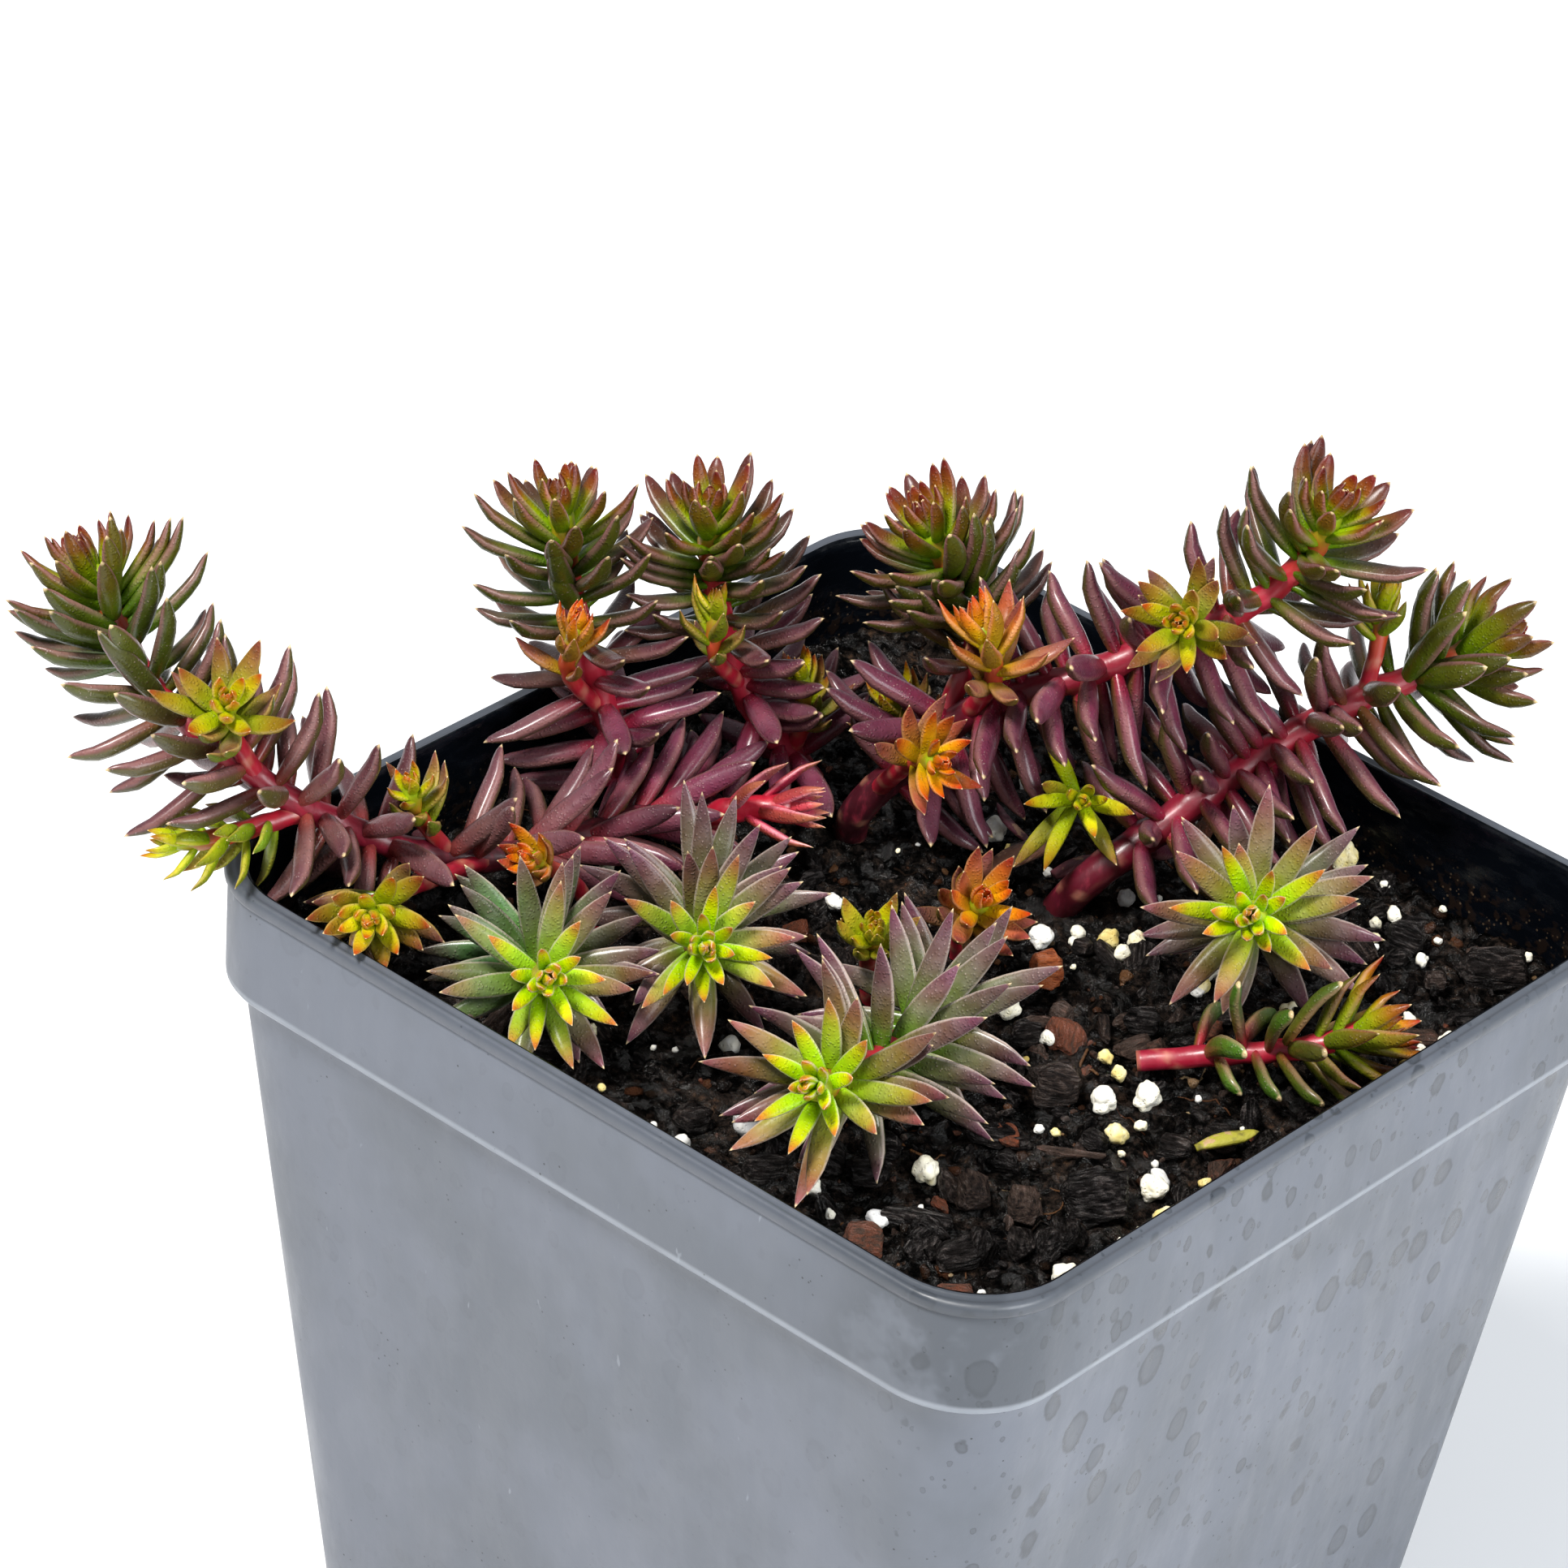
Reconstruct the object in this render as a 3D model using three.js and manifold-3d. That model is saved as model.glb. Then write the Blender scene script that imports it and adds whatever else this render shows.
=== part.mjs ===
// A reflexed stonecrop in a square nursery pot: trailing stems with thick pointed leaves,
// large rosettes at the front and small side rosettes, in a coarse potting mix.
// Millimetres, +Z up, origin at the centre of the pot's flat base.

import * as THREE from 'three';
import { mergeVertices } from 'three/addons/utils/BufferGeometryUtils.js';
import Module from 'manifold-3d';

const wasm = await Module();
wasm.setup();

// Pot
const POT_HEIGHT = 90;
const LIP_HALF = 50;
const BAND_HEIGHT = 12.4;
const BAND_FOOT_HALF = 49.6;
const UNDER_BAND_HALF = 48.3;
const BASE_HALF = 39.6;
const WALL = 1.3;
const FLOOR = 1.6;
const CORNER_RATIO = 0.2;
const SIDES_PER_QUARTER = 5;
const DRAIN_RADIUS = 5;
const DRAIN_OFFSET = 22;
const DRAIN_SIDES = 12;

// Potting mix
const SOIL_LEVEL = 80.5;
const SOIL_CELLS = 14;
const SEAT_GAP = 0.3;

// Stems and leaves
const LINE_STEPS = 6;
const STEM_SIDES = 5;
const STEM_STEP = 5;
const LEAF_SIDES = 3;
const LEAF_DEPTH = 0.8;
const NARROW_LEAF = 2.42;
const TURN_PER_LEAF = 2 * 137.508;
const LEAF_CLEARANCE = 0.22;
const SOIL_CLEARANCE = 1;

const COLOURS = {
  aubergine: 0x5b3145,
  olive: 0x7f8f4c,
  yellow: 0xb9b52c,
  orange: 0xcf7a2a,
  green: 0x9fbf3a,
  pink: 0xb8405c,
  bark: 0x3a2418,
  perlite: 0xeee9d8,
  soil: 0x1c1512,
  pot: 0x50565e,
};

// What the shoots of one kind share. pitch is the distance between leaves on the stem, bud how
// many leaves crowd its tip, spread the leaf's angle from the stem, and reflex what is added to
// it on the older stem, beyond old and over the next oldSpan.
const KINDS = {
  trailing: {
    base: 1.5, tip: 1.1, pitch: 1.2, bud: 17, leaf: [10.2, 2.45], spread: 80, curl: 0.25, sag: 0.1,
    old: 10, oldSpan: 12, reflex: 14, grow: 6.5, open: 3.4, first: 5,
  },
  rosette: {
    base: 1.5, tip: 1.3, pitch: 0.8, bud: 14, leaf: [10.5, 2.5], spread: 82, curl: 0.25, sag: 0,
    old: 10, oldSpan: 12, reflex: 12, grow: 9, open: 2.6, first: 5,
  },
  side: {
    base: 0.9, tip: 0.8, pitch: 0.7, bud: 9, leaf: [6.5, 1.9], spread: 66, curl: 0.25, sag: 0,
    old: 6, oldSpan: 6, reflex: 10, grow: 5, open: 2.2, first: 4,
  },
};

// Every shoot, from its foot to its tip. A shoot with on grows from that shoot, the given distance
// below its tip, and the others stand in the potting mix. leafy is how far down the leaves go.
const SHOOTS = [
  {
    name: 'trailing_shoot_left', kind: 'trailing', colour: 'aubergine', leafy: 84, seed: 11,
    points: [
      [-35, 11, 76], [-31, 0, 84], [-31, -10, 85.5], [-33, -22, 86.5],
      [-36.5, -30.5, 88.5], [-41, -38, 93], [-44.5, -43, 97], [-50, -46, 101],
      [-56, -47.5, 104], [-61, -47.5, 108], [-65, -47.5, 113],
    ],
    leaf: [10.6, 2.4], old: 26, oldSpan: 48, reflex: 62, pitch: 1.25,
  },
  {
    name: 'upright_shoot_left', kind: 'trailing', colour: 'aubergine', leafy: 31, seed: 21,
    points: [
      [-39.5, 3.5, 76], [-38, -1, 84], [-38.5, -4, 92], [-41, -5.5, 100],
      [-43.5, -5.5, 106.5], [-44.8, -5.7, 112.5],
    ],
  },
  {
    name: 'upright_shoot_middle', kind: 'trailing', colour: 'aubergine', leafy: 31, seed: 31,
    points: [
      [-32, 21, 76], [-29.5, 14, 84], [-31.5, 10, 90], [-34, 8, 97],
      [-35.5, 6.5, 105], [-36, 6, 111.5],
    ],
  },
  {
    name: 'trailing_shoot_back', kind: 'trailing', colour: 'aubergine', leafy: 55, seed: 41,
    points: [
      [-22.5, 15, 76], [-19, 11.5, 84], [-15.5, 13.5, 90], [-11.5, 15.5, 96],
      [-6.5, 18, 100.5], [-1.5, 21.5, 103.5], [2.5, 26, 106.5], [7, 30, 110],
      [11, 33, 114], [13.5, 35, 118.5], [15.2, 35.4, 123.2],
    ],
    base: 1.7, sag: 0.2, leaf: [10.4, 2.7], pitch: 1.15,
  },
  {
    name: 'upright_shoot_back', kind: 'trailing', colour: 'aubergine', leafy: 16, seed: 42,
    on: 'trailing_shoot_back', at: 47, points: [[-13, 19.5, 104], [-16, 19, 108.5], [-18, 17.5, 113.5]],
    base: 1.0, tip: 1.0, pitch: 0.95,
  },
  {
    name: 'trailing_shoot_right', kind: 'trailing', colour: 'aubergine', leafy: 40, seed: 51,
    points: [
      [-1, 20, 76], [4, 19, 84], [8, 26, 90], [12, 34.5, 96],
      [16.5, 42.5, 101], [20, 47.5, 103.3], [23, 53, 106],
    ],
    base: 1.8, tip: 1.2, leaf: [10.6, 2.7], sag: 0.3, pitch: 1.2,
  },
  {
    name: 'rosette_front_left', kind: 'rosette', colour: 'olive', leafy: 22, seed: 61,
    points: [[-27, -23, 76], [-25.5, -26, 82], [-17.5, -35, 86.5], [-10.5, -42, 92.8]],
    leaf: [10.8, 2.35],
  },
  {
    name: 'rosette_front_middle', kind: 'rosette', colour: 'olive', leafy: 25, seed: 62,
    points: [[-19, -9, 76], [-18, -12, 83], [-9.5, -22, 88.3], [-3, -29, 94.2]],
    leaf: [10.8, 2.35],
  },
  {
    name: 'rosette_front', kind: 'rosette', colour: 'olive', leafy: 35, seed: 63,
    points: [
      [8, -4, 76], [9, -8, 83.5], [13.5, -20, 87.5], [16.3, -30.5, 90],
      [19.3, -38.5, 94.8],
    ],
    base: 1.6, leaf: [11.4, 2.4], pitch: 0.9,
  },
  {
    name: 'rosette_right', kind: 'rosette', colour: 'olive', leafy: 18, seed: 67,
    points: [[18, 31, 76], [18.5, 28, 83.5], [23.5, 19.5, 89.3], [29, 11.5, 95.7]],
    leaf: [11.2, 2.45], pitch: 0.9,
  },
  {
    name: 'side_rosette_left', kind: 'side', colour: 'yellow', leafy: 8, seed: 12,
    on: 'trailing_shoot_left', at: 25, points: [[-47.5, -47, 104.5], [-45.5, -49, 108.5]],
    leaf: [7.6, 2.2], bud: 10, spread: 72,
  },
  {
    name: 'side_shoot_over_corner', kind: 'side', colour: 'green', leafy: 10, seed: 13,
    on: 'trailing_shoot_left', at: 31, points: [[-45.5, -48.5, 94], [-47, -50.5, 93.5], [-48.5, -52, 93.5]],
    leaf: [6, 1.6],
  },
  {
    name: 'side_rosette_left_lip', kind: 'side', colour: 'yellow', leafy: 8, seed: 14,
    on: 'trailing_shoot_left', at: 51, points: [[-33, -39.5, 89.5], [-28.5, -46.5, 92.5]],
    leaf: [7.2, 2.1], spread: 74,
  },
  {
    name: 'side_bud_left_back', kind: 'side', colour: 'yellow', leafy: 6, seed: 15,
    on: 'trailing_shoot_left', at: 47, points: [[-37, -31.5, 93], [-37, -33, 96.5]],
    leaf: [5.8, 1.8], base: 0.8, tip: 0.7,
  },
  {
    name: 'side_bud_upright_left', kind: 'side', colour: 'orange', leafy: 6, seed: 22,
    on: 'upright_shoot_left', at: 21, points: [[-39.5, -9, 98.5], [-38.5, -9.5, 104]],
    leaf: [6, 1.7], spread: 50, base: 0.8, tip: 0.7,
  },
  {
    name: 'side_bud_upright_middle', kind: 'side', colour: 'yellow', leafy: 6, seed: 32,
    on: 'upright_shoot_middle', at: 19, points: [[-32, 3.5, 99], [-32, 3.5, 104.5]],
    leaf: [6, 1.8], spread: 52, base: 0.8, tip: 0.7,
  },
  {
    name: 'side_bud_low_middle', kind: 'side', colour: 'yellow', leafy: 6, seed: 33,
    on: 'upright_shoot_middle', at: 29, points: [[-27.5, 12.5, 90], [-27.5, 11.5, 95]],
    leaf: [5.6, 1.7], spread: 58, base: 0.8, tip: 0.7,
  },
  {
    name: 'small_shoot_back', kind: 'side', colour: 'yellow', leafy: 8, seed: 34,
    points: [[-21, 24, 77], [-19, 20, 86], [-20, 17, 94]],
    leaf: [5.8, 1.7], spread: 58,
  },
  {
    name: 'side_rosette_back', kind: 'side', colour: 'orange', leafy: 7, seed: 43,
    on: 'trailing_shoot_back', at: 43, points: [[-6, 14, 104.5], [-7.5, 13.5, 109]],
    leaf: [7.6, 2.1], bud: 10,
  },
  {
    name: 'side_rosette_right_back', kind: 'side', colour: 'yellow', leafy: 9, seed: 44,
    on: 'trailing_shoot_back', at: 20, points: [[9, 24, 113], [11, 19.5, 116]],
    leaf: [7.2, 2], bud: 10, spread: 70,
  },
  {
    name: 'side_bud_right', kind: 'side', colour: 'yellow', leafy: 5, seed: 45,
    on: 'trailing_shoot_right', at: 13, points: [[17, 43.5, 106.5], [16, 45, 111]],
    leaf: [5.6, 1.7], spread: 56, base: 0.8, tip: 0.7,
  },
  {
    name: 'small_shoot_centre', kind: 'side', colour: 'green', leafy: 7, seed: 52,
    points: [[-8, 28, 77], [-4, 25.5, 86], [0, 21, 90.5], [3.8, 17, 94]],
    leaf: [8.4, 1.7], pitch: 1.3, bud: 5, spread: 80,
  },
  {
    name: 'side_rosette_centre', kind: 'side', colour: 'orange', leafy: 6, seed: 53,
    on: 'trailing_shoot_back', at: 56, points: [[-10.5, 8.5, 95], [-6, 6.5, 98]],
    leaf: [6.8, 1.9], spread: 70,
  },
  {
    name: 'stubby_shoot_pink', kind: 'side', colour: 'pink', leafy: 7, seed: 54,
    points: [[-27, 3, 77], [-27, -0.5, 84], [-24.5, -1.8, 87], [-19.5, 1, 88.8]],
    leaf: [8, 1.7], base: 1.3, tip: 1.1, pitch: 1.1, bud: 7, spread: 46,
  },
  {
    name: 'small_shoot_front_left', kind: 'side', colour: 'orange', leafy: 5, seed: 64,
    points: [[-25, -17, 77], [-26, -21, 86], [-25, -29, 93]],
    leaf: [5.4, 1.6], spread: 46, base: 0.8, tip: 0.7,
  },
  {
    name: 'small_shoot_front', kind: 'side', colour: 'green', leafy: 6, seed: 65,
    points: [[-1, -6, 77], [0.5, -9, 85], [3.5, -12.5, 92]],
    leaf: [6, 1.8], spread: 48,
  },
  {
    name: 'rosette_orange_front', kind: 'side', colour: 'orange', leafy: 8, seed: 66,
    points: [[0, 5.5, 77], [3, 1.5, 86], [7.5, -2, 92.5]],
    leaf: [7.4, 2], bud: 10, spread: 52,
  },
  {
    name: 'lying_cutting', kind: 'side', colour: 'olive', leafy: 17, seed: 68,
    points: [[25, 1.5, 81.9], [31, 7, 83.2], [36.5, 11.3, 84.8], [40.5, 15.3, 87]],
    leaf: [8.2, 2.05], base: 1, tip: 1, pitch: 1.05, sag: 0.9, bud: 12, spread: 72,
    grow: 3.5,
  },
];

// Where a leaf may bend clear of what is in its way: turn round the stem, tilt, and length share
const BENDS = [
  [0, 0, 1], [12, 0, 1], [-12, 0, 1], [0, -12, 1], [0, 12, 1],
  [20, -10, 1], [-20, -10, 1], [20, 10, 1], [-20, 10, 1], [0, -22, 1],
  [0, 0, 0.85], [14, -12, 0.85], [-14, -12, 0.85], [14, 12, 0.85], [-14, 12, 0.85],
  [0, -28, 0.85], [0, 0, 0.7], [20, -20, 0.7], [-20, -20, 0.7], [20, 15, 0.7], [-20, 15, 0.7],
];

// Bark chips: centre x and y, length, width and height, turn
const BARK = [
  [35.7, -17.7, 8, 7, 5.5, 45],
  [31.8, -22.8, 5.2, 4.1, 3.6, -45],
  [22.2, -7, 5.6, 5.6, 5.5, 45],
  [22.7, -16.3, 5.8, 3.8, 2.6, 38],
  [27.5, -24.6, 6, 4, 3.6, -45],
  [26.9, -31.9, 8.4, 3, 2, 42],
  [33.4, -33.3, 6, 4, 3, 52],
  [26.2, -38.6, 4.7, 4.6, 4, 45],
  [44.5, -13.5, 8.5, 2.4, 2.4, 90],
  [9.3, 6.8, 4, 3, 5, 50],
  [37.4, 40.4, 8.5, 5.5, 4.5, 38],
];
const BARK_SUNK = 0.3;

// Perlite grains: centre x and y, size
const PERLITE = [
  [15.8, 44.6, 3.6],
  [28.7, -1.3, 3.6],
  [26.6, -5.1, 3.2],
  [37.9, -11.4, 3.2],
  [22.8, -25.5, 3.2],
  [41.6, -28.4, 3],
  [42.8, 26.4, 3.2],
  [-10.6, 22.9, 3.2],
  [6.9, -32.4, 4.2],
  [4.6, 11.9, 3.1],
  [10, 0.7, 2.9],
];
const PERLITE_SUNK = 0.25;
const LARGER_POCKET = 0.05;

const material = (colour, roughness) => new THREE.MeshStandardMaterial({
  color: COLOURS[colour],
  roughness,
  metalness: 0,
});

// A repeatable number from 0 to 1 for one leaf, or one corner of a chip
function chance(seed, item, which) {
  const wave = Math.sin(seed * 12.9898 + item * 78.233 + which * 37.719) * 43758.5453;
  return wave - Math.floor(wave);
}

const between = (low, high, share) => low + (high - low) * share;

const smooth = (x) => {
  const t = Math.min(1, Math.max(0, x));
  return t * t * (3 - 2 * t);
};

// Closed geometry to a solid, without the triangles that collapse at a pole
function solid(geometry) {
  geometry.deleteAttribute('normal');
  geometry.deleteAttribute('uv');
  const merged = mergeVertices(geometry, 1e-4);
  const index = merged.index.array;
  const kept = [];
  for (let i = 0; i < index.length; i += 3) {
    const [a, b, c] = [index[i], index[i + 1], index[i + 2]];
    if (a !== b && b !== c && a !== c) {
      kept.push(a, b, c);
    }
  }
  return new wasm.Manifold(new wasm.Mesh({
    numProp: 3,
    vertProperties: new Float32Array(merged.attributes.position.array),
    triVerts: new Uint32Array(kept),
  }));
}

function meshOf(body, name, colour, roughness) {
  const { vertProperties, triVerts, numProp } = body.getMesh();
  const geometry = new THREE.BufferGeometry();
  const positions = [];
  for (let i = 0; i < vertProperties.length; i += numProp) {
    positions.push(vertProperties[i], vertProperties[i + 1], vertProperties[i + 2]);
  }
  geometry.setAttribute('position', new THREE.Float32BufferAttribute(positions, 3));
  geometry.setIndex(Array.from(triVerts));
  geometry.computeVertexNormals();
  const mesh = new THREE.Mesh(geometry, material(colour, roughness));
  mesh.name = name;
  return mesh;
}

// The largest connected body of a solid
function largest(body) {
  return body.decompose().reduce((best, piece) => (piece.volume() > best.volume() ? piece : best));
}

function moveVertices(geometry, move) {
  const position = geometry.attributes.position;
  const vertex = new THREE.Vector3();
  for (let i = 0; i < position.count; i += 1) {
    vertex.fromBufferAttribute(position, i);
    const moved = move(vertex);
    position.setXYZ(i, moved.x, moved.y, moved.z);
  }
  return geometry;
}

// A lathe whose rings are rounded squares: each profile point is half the width and the height
function squareLathe(profile) {
  const perQuarter = SIDES_PER_QUARTER;
  const segments = 4 * perQuarter;
  const corner = CORNER_RATIO;
  const outline = [];
  for (let quarter = 0; quarter < 4; quarter += 1) {
    for (let step = 0; step < perQuarter; step += 1) {
      const angle = (quarter + step / (perQuarter - 1)) * Math.PI / 2;
      const middle = (quarter + 0.5) * Math.PI / 2;
      outline.push([
        Math.sign(Math.cos(middle)) * (1 - corner) + Math.cos(angle) * corner,
        Math.sign(Math.sin(middle)) * (1 - corner) + Math.sin(angle) * corner,
      ]);
    }
  }
  const lathe = new THREE.LatheGeometry(profile.map(([half, z]) => new THREE.Vector2(half, z)), segments);
  return moveVertices(lathe, (vertex) => {
    const radius = Math.hypot(vertex.x, vertex.z);
    const turn = Math.atan2(vertex.x, vertex.z) / (2 * Math.PI);
    const [x, y] = outline[(Math.round(turn * segments) + segments) % segments];
    return new THREE.Vector3(radius * x, radius * y, vertex.y);
  });
}

function insideHalf(z) {
  const bandFoot = POT_HEIGHT - BAND_HEIGHT;
  if (z > bandFoot) {
    return between(UNDER_BAND_HALF, LIP_HALF - 0.5, (z - bandFoot) / BAND_HEIGHT) - WALL;
  }
  return between(BASE_HALF, UNDER_BAND_HALF, z / bandFoot) - WALL;
}

function makePot() {
  const bandFoot = POT_HEIGHT - BAND_HEIGHT;
  const pot = solid(squareLathe([
    [0, 0],
    [BASE_HALF - 0.6, 0],
    [BASE_HALF, 0.8],
    [UNDER_BAND_HALF, bandFoot - 0.8],
    [BAND_FOOT_HALF - 0.3, bandFoot],
    [BAND_FOOT_HALF, bandFoot + 0.8],
    [LIP_HALF, POT_HEIGHT - 0.8],
    [LIP_HALF - 0.4, POT_HEIGHT],
    [insideHalf(POT_HEIGHT) + 0.3, POT_HEIGHT],
    [insideHalf(POT_HEIGHT), POT_HEIGHT - 0.6],
    [insideHalf(bandFoot), bandFoot - 0.4],
    [insideHalf(FLOOR), FLOOR],
    [0, FLOOR],
  ]));
  const drains = [];
  for (const [x, y] of [[1, 1], [-1, 1], [-1, -1], [1, -1]]) {
    const drain = new THREE.CylinderGeometry(DRAIN_RADIUS, DRAIN_RADIUS, 3 * FLOOR, DRAIN_SIDES);
    drain.rotateX(Math.PI / 2);
    drain.translate(x * DRAIN_OFFSET, y * DRAIN_OFFSET, FLOOR / 2);
    drains.push(solid(drain));
  }
  return pot.subtract(wasm.Manifold.union(drains));
}

// Height of the mix's lumps above its level
function relief(x, y) {
  return 0.4 * Math.sin(0.31 * x + 1.3) * Math.cos(0.27 * y) + 0.3 * Math.sin(0.17 * x - 0.22 * y + 2);
}

function makeSoil() {
  const plug = solid(squareLathe([
    [0, FLOOR + SEAT_GAP],
    [insideHalf(FLOOR) - SEAT_GAP, FLOOR + SEAT_GAP],
    [insideHalf(POT_HEIGHT - BAND_HEIGHT) - SEAT_GAP, POT_HEIGHT - BAND_HEIGHT],
    [insideHalf(POT_HEIGHT) - SEAT_GAP, POT_HEIGHT],
    [0, POT_HEIGHT],
  ]));
  const block = new THREE.BoxGeometry(2 * LIP_HALF, 2 * LIP_HALF, SOIL_LEVEL, SOIL_CELLS, SOIL_CELLS, 1);
  block.translate(0, 0, SOIL_LEVEL / 2);
  moveVertices(block, (vertex) => {
    if (vertex.z > SOIL_LEVEL / 2) {
      vertex.z += relief(vertex.x, vertex.y);
    }
    return vertex;
  });
  return plug.intersect(solid(block));
}

// A stem's centre line, tip first, with the distance from the tip and a frame carried along it
function stemFrames(points) {
  const curve = new THREE.CatmullRomCurve3(points, false, 'catmullrom', 0.5);
  const line = curve.getPoints(LINE_STEPS * (points.length - 1)).reverse();
  const frames = [];
  let along = 0;
  let normal = null;
  line.forEach((point, i) => {
    if (i > 0) {
      along += point.distanceTo(line[i - 1]);
    }
    const before = line[Math.max(0, i - 1)];
    const after = line[Math.min(line.length - 1, i + 1)];
    const tangent = before.clone().sub(after).normalize();
    if (normal === null) {
      const up = Math.abs(tangent.z) < 0.9 ? new THREE.Vector3(0, 0, 1) : new THREE.Vector3(1, 0, 0);
      normal = tangent.clone().cross(up).normalize();
    } else {
      normal = normal.clone().addScaledVector(tangent, -normal.dot(tangent)).normalize();
    }
    frames.push({ along, point, tangent, normal });
  });
  return frames;
}

function frameAt(frames, along) {
  let i = 1;
  while (i < frames.length - 1 && frames[i].along < along) {
    i += 1;
  }
  const [a, b] = [frames[i - 1], frames[i]];
  const share = (along - a.along) / (b.along - a.along);
  const inside = Math.min(1, Math.max(0, share));
  const tangent = a.tangent.clone().lerp(b.tangent, inside).normalize();
  const normal = a.normal.clone().lerp(b.normal, inside);
  normal.addScaledVector(tangent, -normal.dot(tangent)).normalize();
  const point = a.point.clone().lerp(b.point, inside);
  const beyond = (share - inside) * (b.along - a.along);
  point.addScaledVector(tangent, -beyond);
  return { point, tangent, normal };
}

// A stem's radius, given the distance from its tip
function stemRadius(shoot, along) {
  return between(shoot.tip, shoot.base, Math.min(1, along / shoot.length));
}

// A stem tube with a domed tip. grown makes it fatter all over, and longer at the foot.
function stemBody(shoot, grown) {
  const rings = Math.max(2, Math.round(shoot.length / STEM_STEP));
  const profile = [new THREE.Vector2(0, shoot.length + grown)];
  for (let i = rings; i >= 0; i -= 1) {
    const along = i === rings ? shoot.length + grown : (shoot.length * i) / rings;
    profile.push(new THREE.Vector2(stemRadius(shoot, along) + grown, along));
  }
  profile.push(new THREE.Vector2(shoot.tip * 0.6 + grown, -0.8 - grown));
  profile.push(new THREE.Vector2(0, -1.2 - grown));
  const lathe = new THREE.LatheGeometry(profile.map((p) => new THREE.Vector2(p.x, -p.y)), STEM_SIDES);
  return solid(moveVertices(lathe, (vertex) => {
    const { point, tangent, normal } = frameAt(shoot.frames, -vertex.y);
    const across = normal.clone().cross(tangent);
    return point.addScaledVector(normal, vertex.x).addScaledVector(across, vertex.z);
  }));
}

// A leaf grows from the stem's centre line along a short bent line of three points
function makeLeaf(shoot, frame, along, turn, tilt, length, width) {
  const { point, tangent, normal } = frame;
  const across = tangent.clone().cross(normal);
  const outward = normal.clone().multiplyScalar(Math.cos(turn)).addScaledVector(across, Math.sin(turn));
  const start = tangent.clone().multiplyScalar(Math.cos(tilt)).addScaledVector(outward, Math.sin(tilt));
  const old = smooth((along - shoot.old) / 10);
  const end = start.clone().addScaledVector(tangent, shoot.curl * (1 - old));
  end.z -= shoot.sag * old;
  end.normalize();
  const half = (length + stemRadius(shoot, along)) / 2;
  const middle = point.clone().addScaledVector(start, half);
  const tip = middle.clone().addScaledVector(end, half);
  return { root: point, middle, tip, width, inner: tangent };
}

function leafPoint(leaf, t) {
  const point = leaf.root.clone().multiplyScalar((1 - t) ** 2);
  return point.addScaledVector(leaf.middle, 2 * t * (1 - t)).addScaledVector(leaf.tip, t * t);
}

// The leaf as three straight rods with a radius, for telling whether it is in another's way
function leafRods(leaf) {
  const at = [1, 2, 3, 4].map((step) => leafPoint(leaf, step / 4));
  const radius = leaf.width / 2;
  return [
    { from: at[0], to: at[1], radius },
    { from: at[1], to: at[2], radius },
    { from: at[2], to: at[3], radius: radius * 0.6 },
  ];
}

function leafBody(leaf) {
  const corner = leaf.width / Math.sqrt(3);
  const broad = [[0, 0], [0.95 * corner, 0.42], [0.9 * corner, 0.76], [0, 1]];
  const narrow = [[0, 0], [corner, 0.56], [0, 1]];
  const profile = leaf.width < NARROW_LEAF ? narrow : broad;
  const lathe = new THREE.LatheGeometry(profile.map(([r, t]) => new THREE.Vector2(r, t)), LEAF_SIDES);
  return solid(moveVertices(lathe, (vertex) => {
    const t = vertex.y;
    const ahead = leafPoint(leaf, t + 0.01).sub(leafPoint(leaf, t - 0.01)).normalize();
    const down = leaf.inner.clone().addScaledVector(ahead, -leaf.inner.dot(ahead)).normalize().negate();
    const across = ahead.clone().cross(down);
    const point = leafPoint(leaf, t).addScaledVector(across, vertex.x);
    return point.addScaledVector(down, vertex.z * LEAF_DEPTH);
  }));
}

function rodDistance(a, b) {
  const u = a.to.clone().sub(a.from);
  const v = b.to.clone().sub(b.from);
  const w = a.from.clone().sub(b.from);
  const [uu, vv, uv, uw, vw] = [u.dot(u), v.dot(v), u.dot(v), u.dot(w), v.dot(w)];
  const limit = (x) => Math.min(1, Math.max(0, x));
  const across = uu * vv - uv * uv;
  let s = across > 1e-9 ? limit((uv * vw - uw * vv) / across) : 0;
  let t = (uv * s + vw) / vv;
  if (t < 0) {
    t = 0;
    s = limit(-uw / uu);
  } else if (t > 1) {
    t = 1;
    s = limit((uv - uw) / uu);
  }
  return w.addScaledVector(u, s).addScaledVector(v, -t).length();
}

function rodsMeet(rods, others) {
  for (const a of rods) {
    const reach = a.from.distanceTo(a.to) / 2 + a.radius + LEAF_CLEARANCE;
    const centre = a.from.clone().add(a.to).multiplyScalar(0.5);
    for (const b of others) {
      const far = reach + b.from.distanceTo(b.to) + b.radius;
      if (centre.distanceTo(b.from) < far && rodDistance(a, b) < a.radius + b.radius + LEAF_CLEARANCE) {
        return true;
      }
    }
  }
  return false;
}

// Distance outside the pot's outline at the lip, negative inside it
function outsideLip(x, y) {
  const corner = LIP_HALF * CORNER_RATIO;
  const [dx, dy] = [Math.abs(x) - (LIP_HALF - corner), Math.abs(y) - (LIP_HALF - corner)];
  return Math.hypot(Math.max(dx, 0), Math.max(dy, 0)) + Math.min(Math.max(dx, dy), 0) - corner;
}

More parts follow.
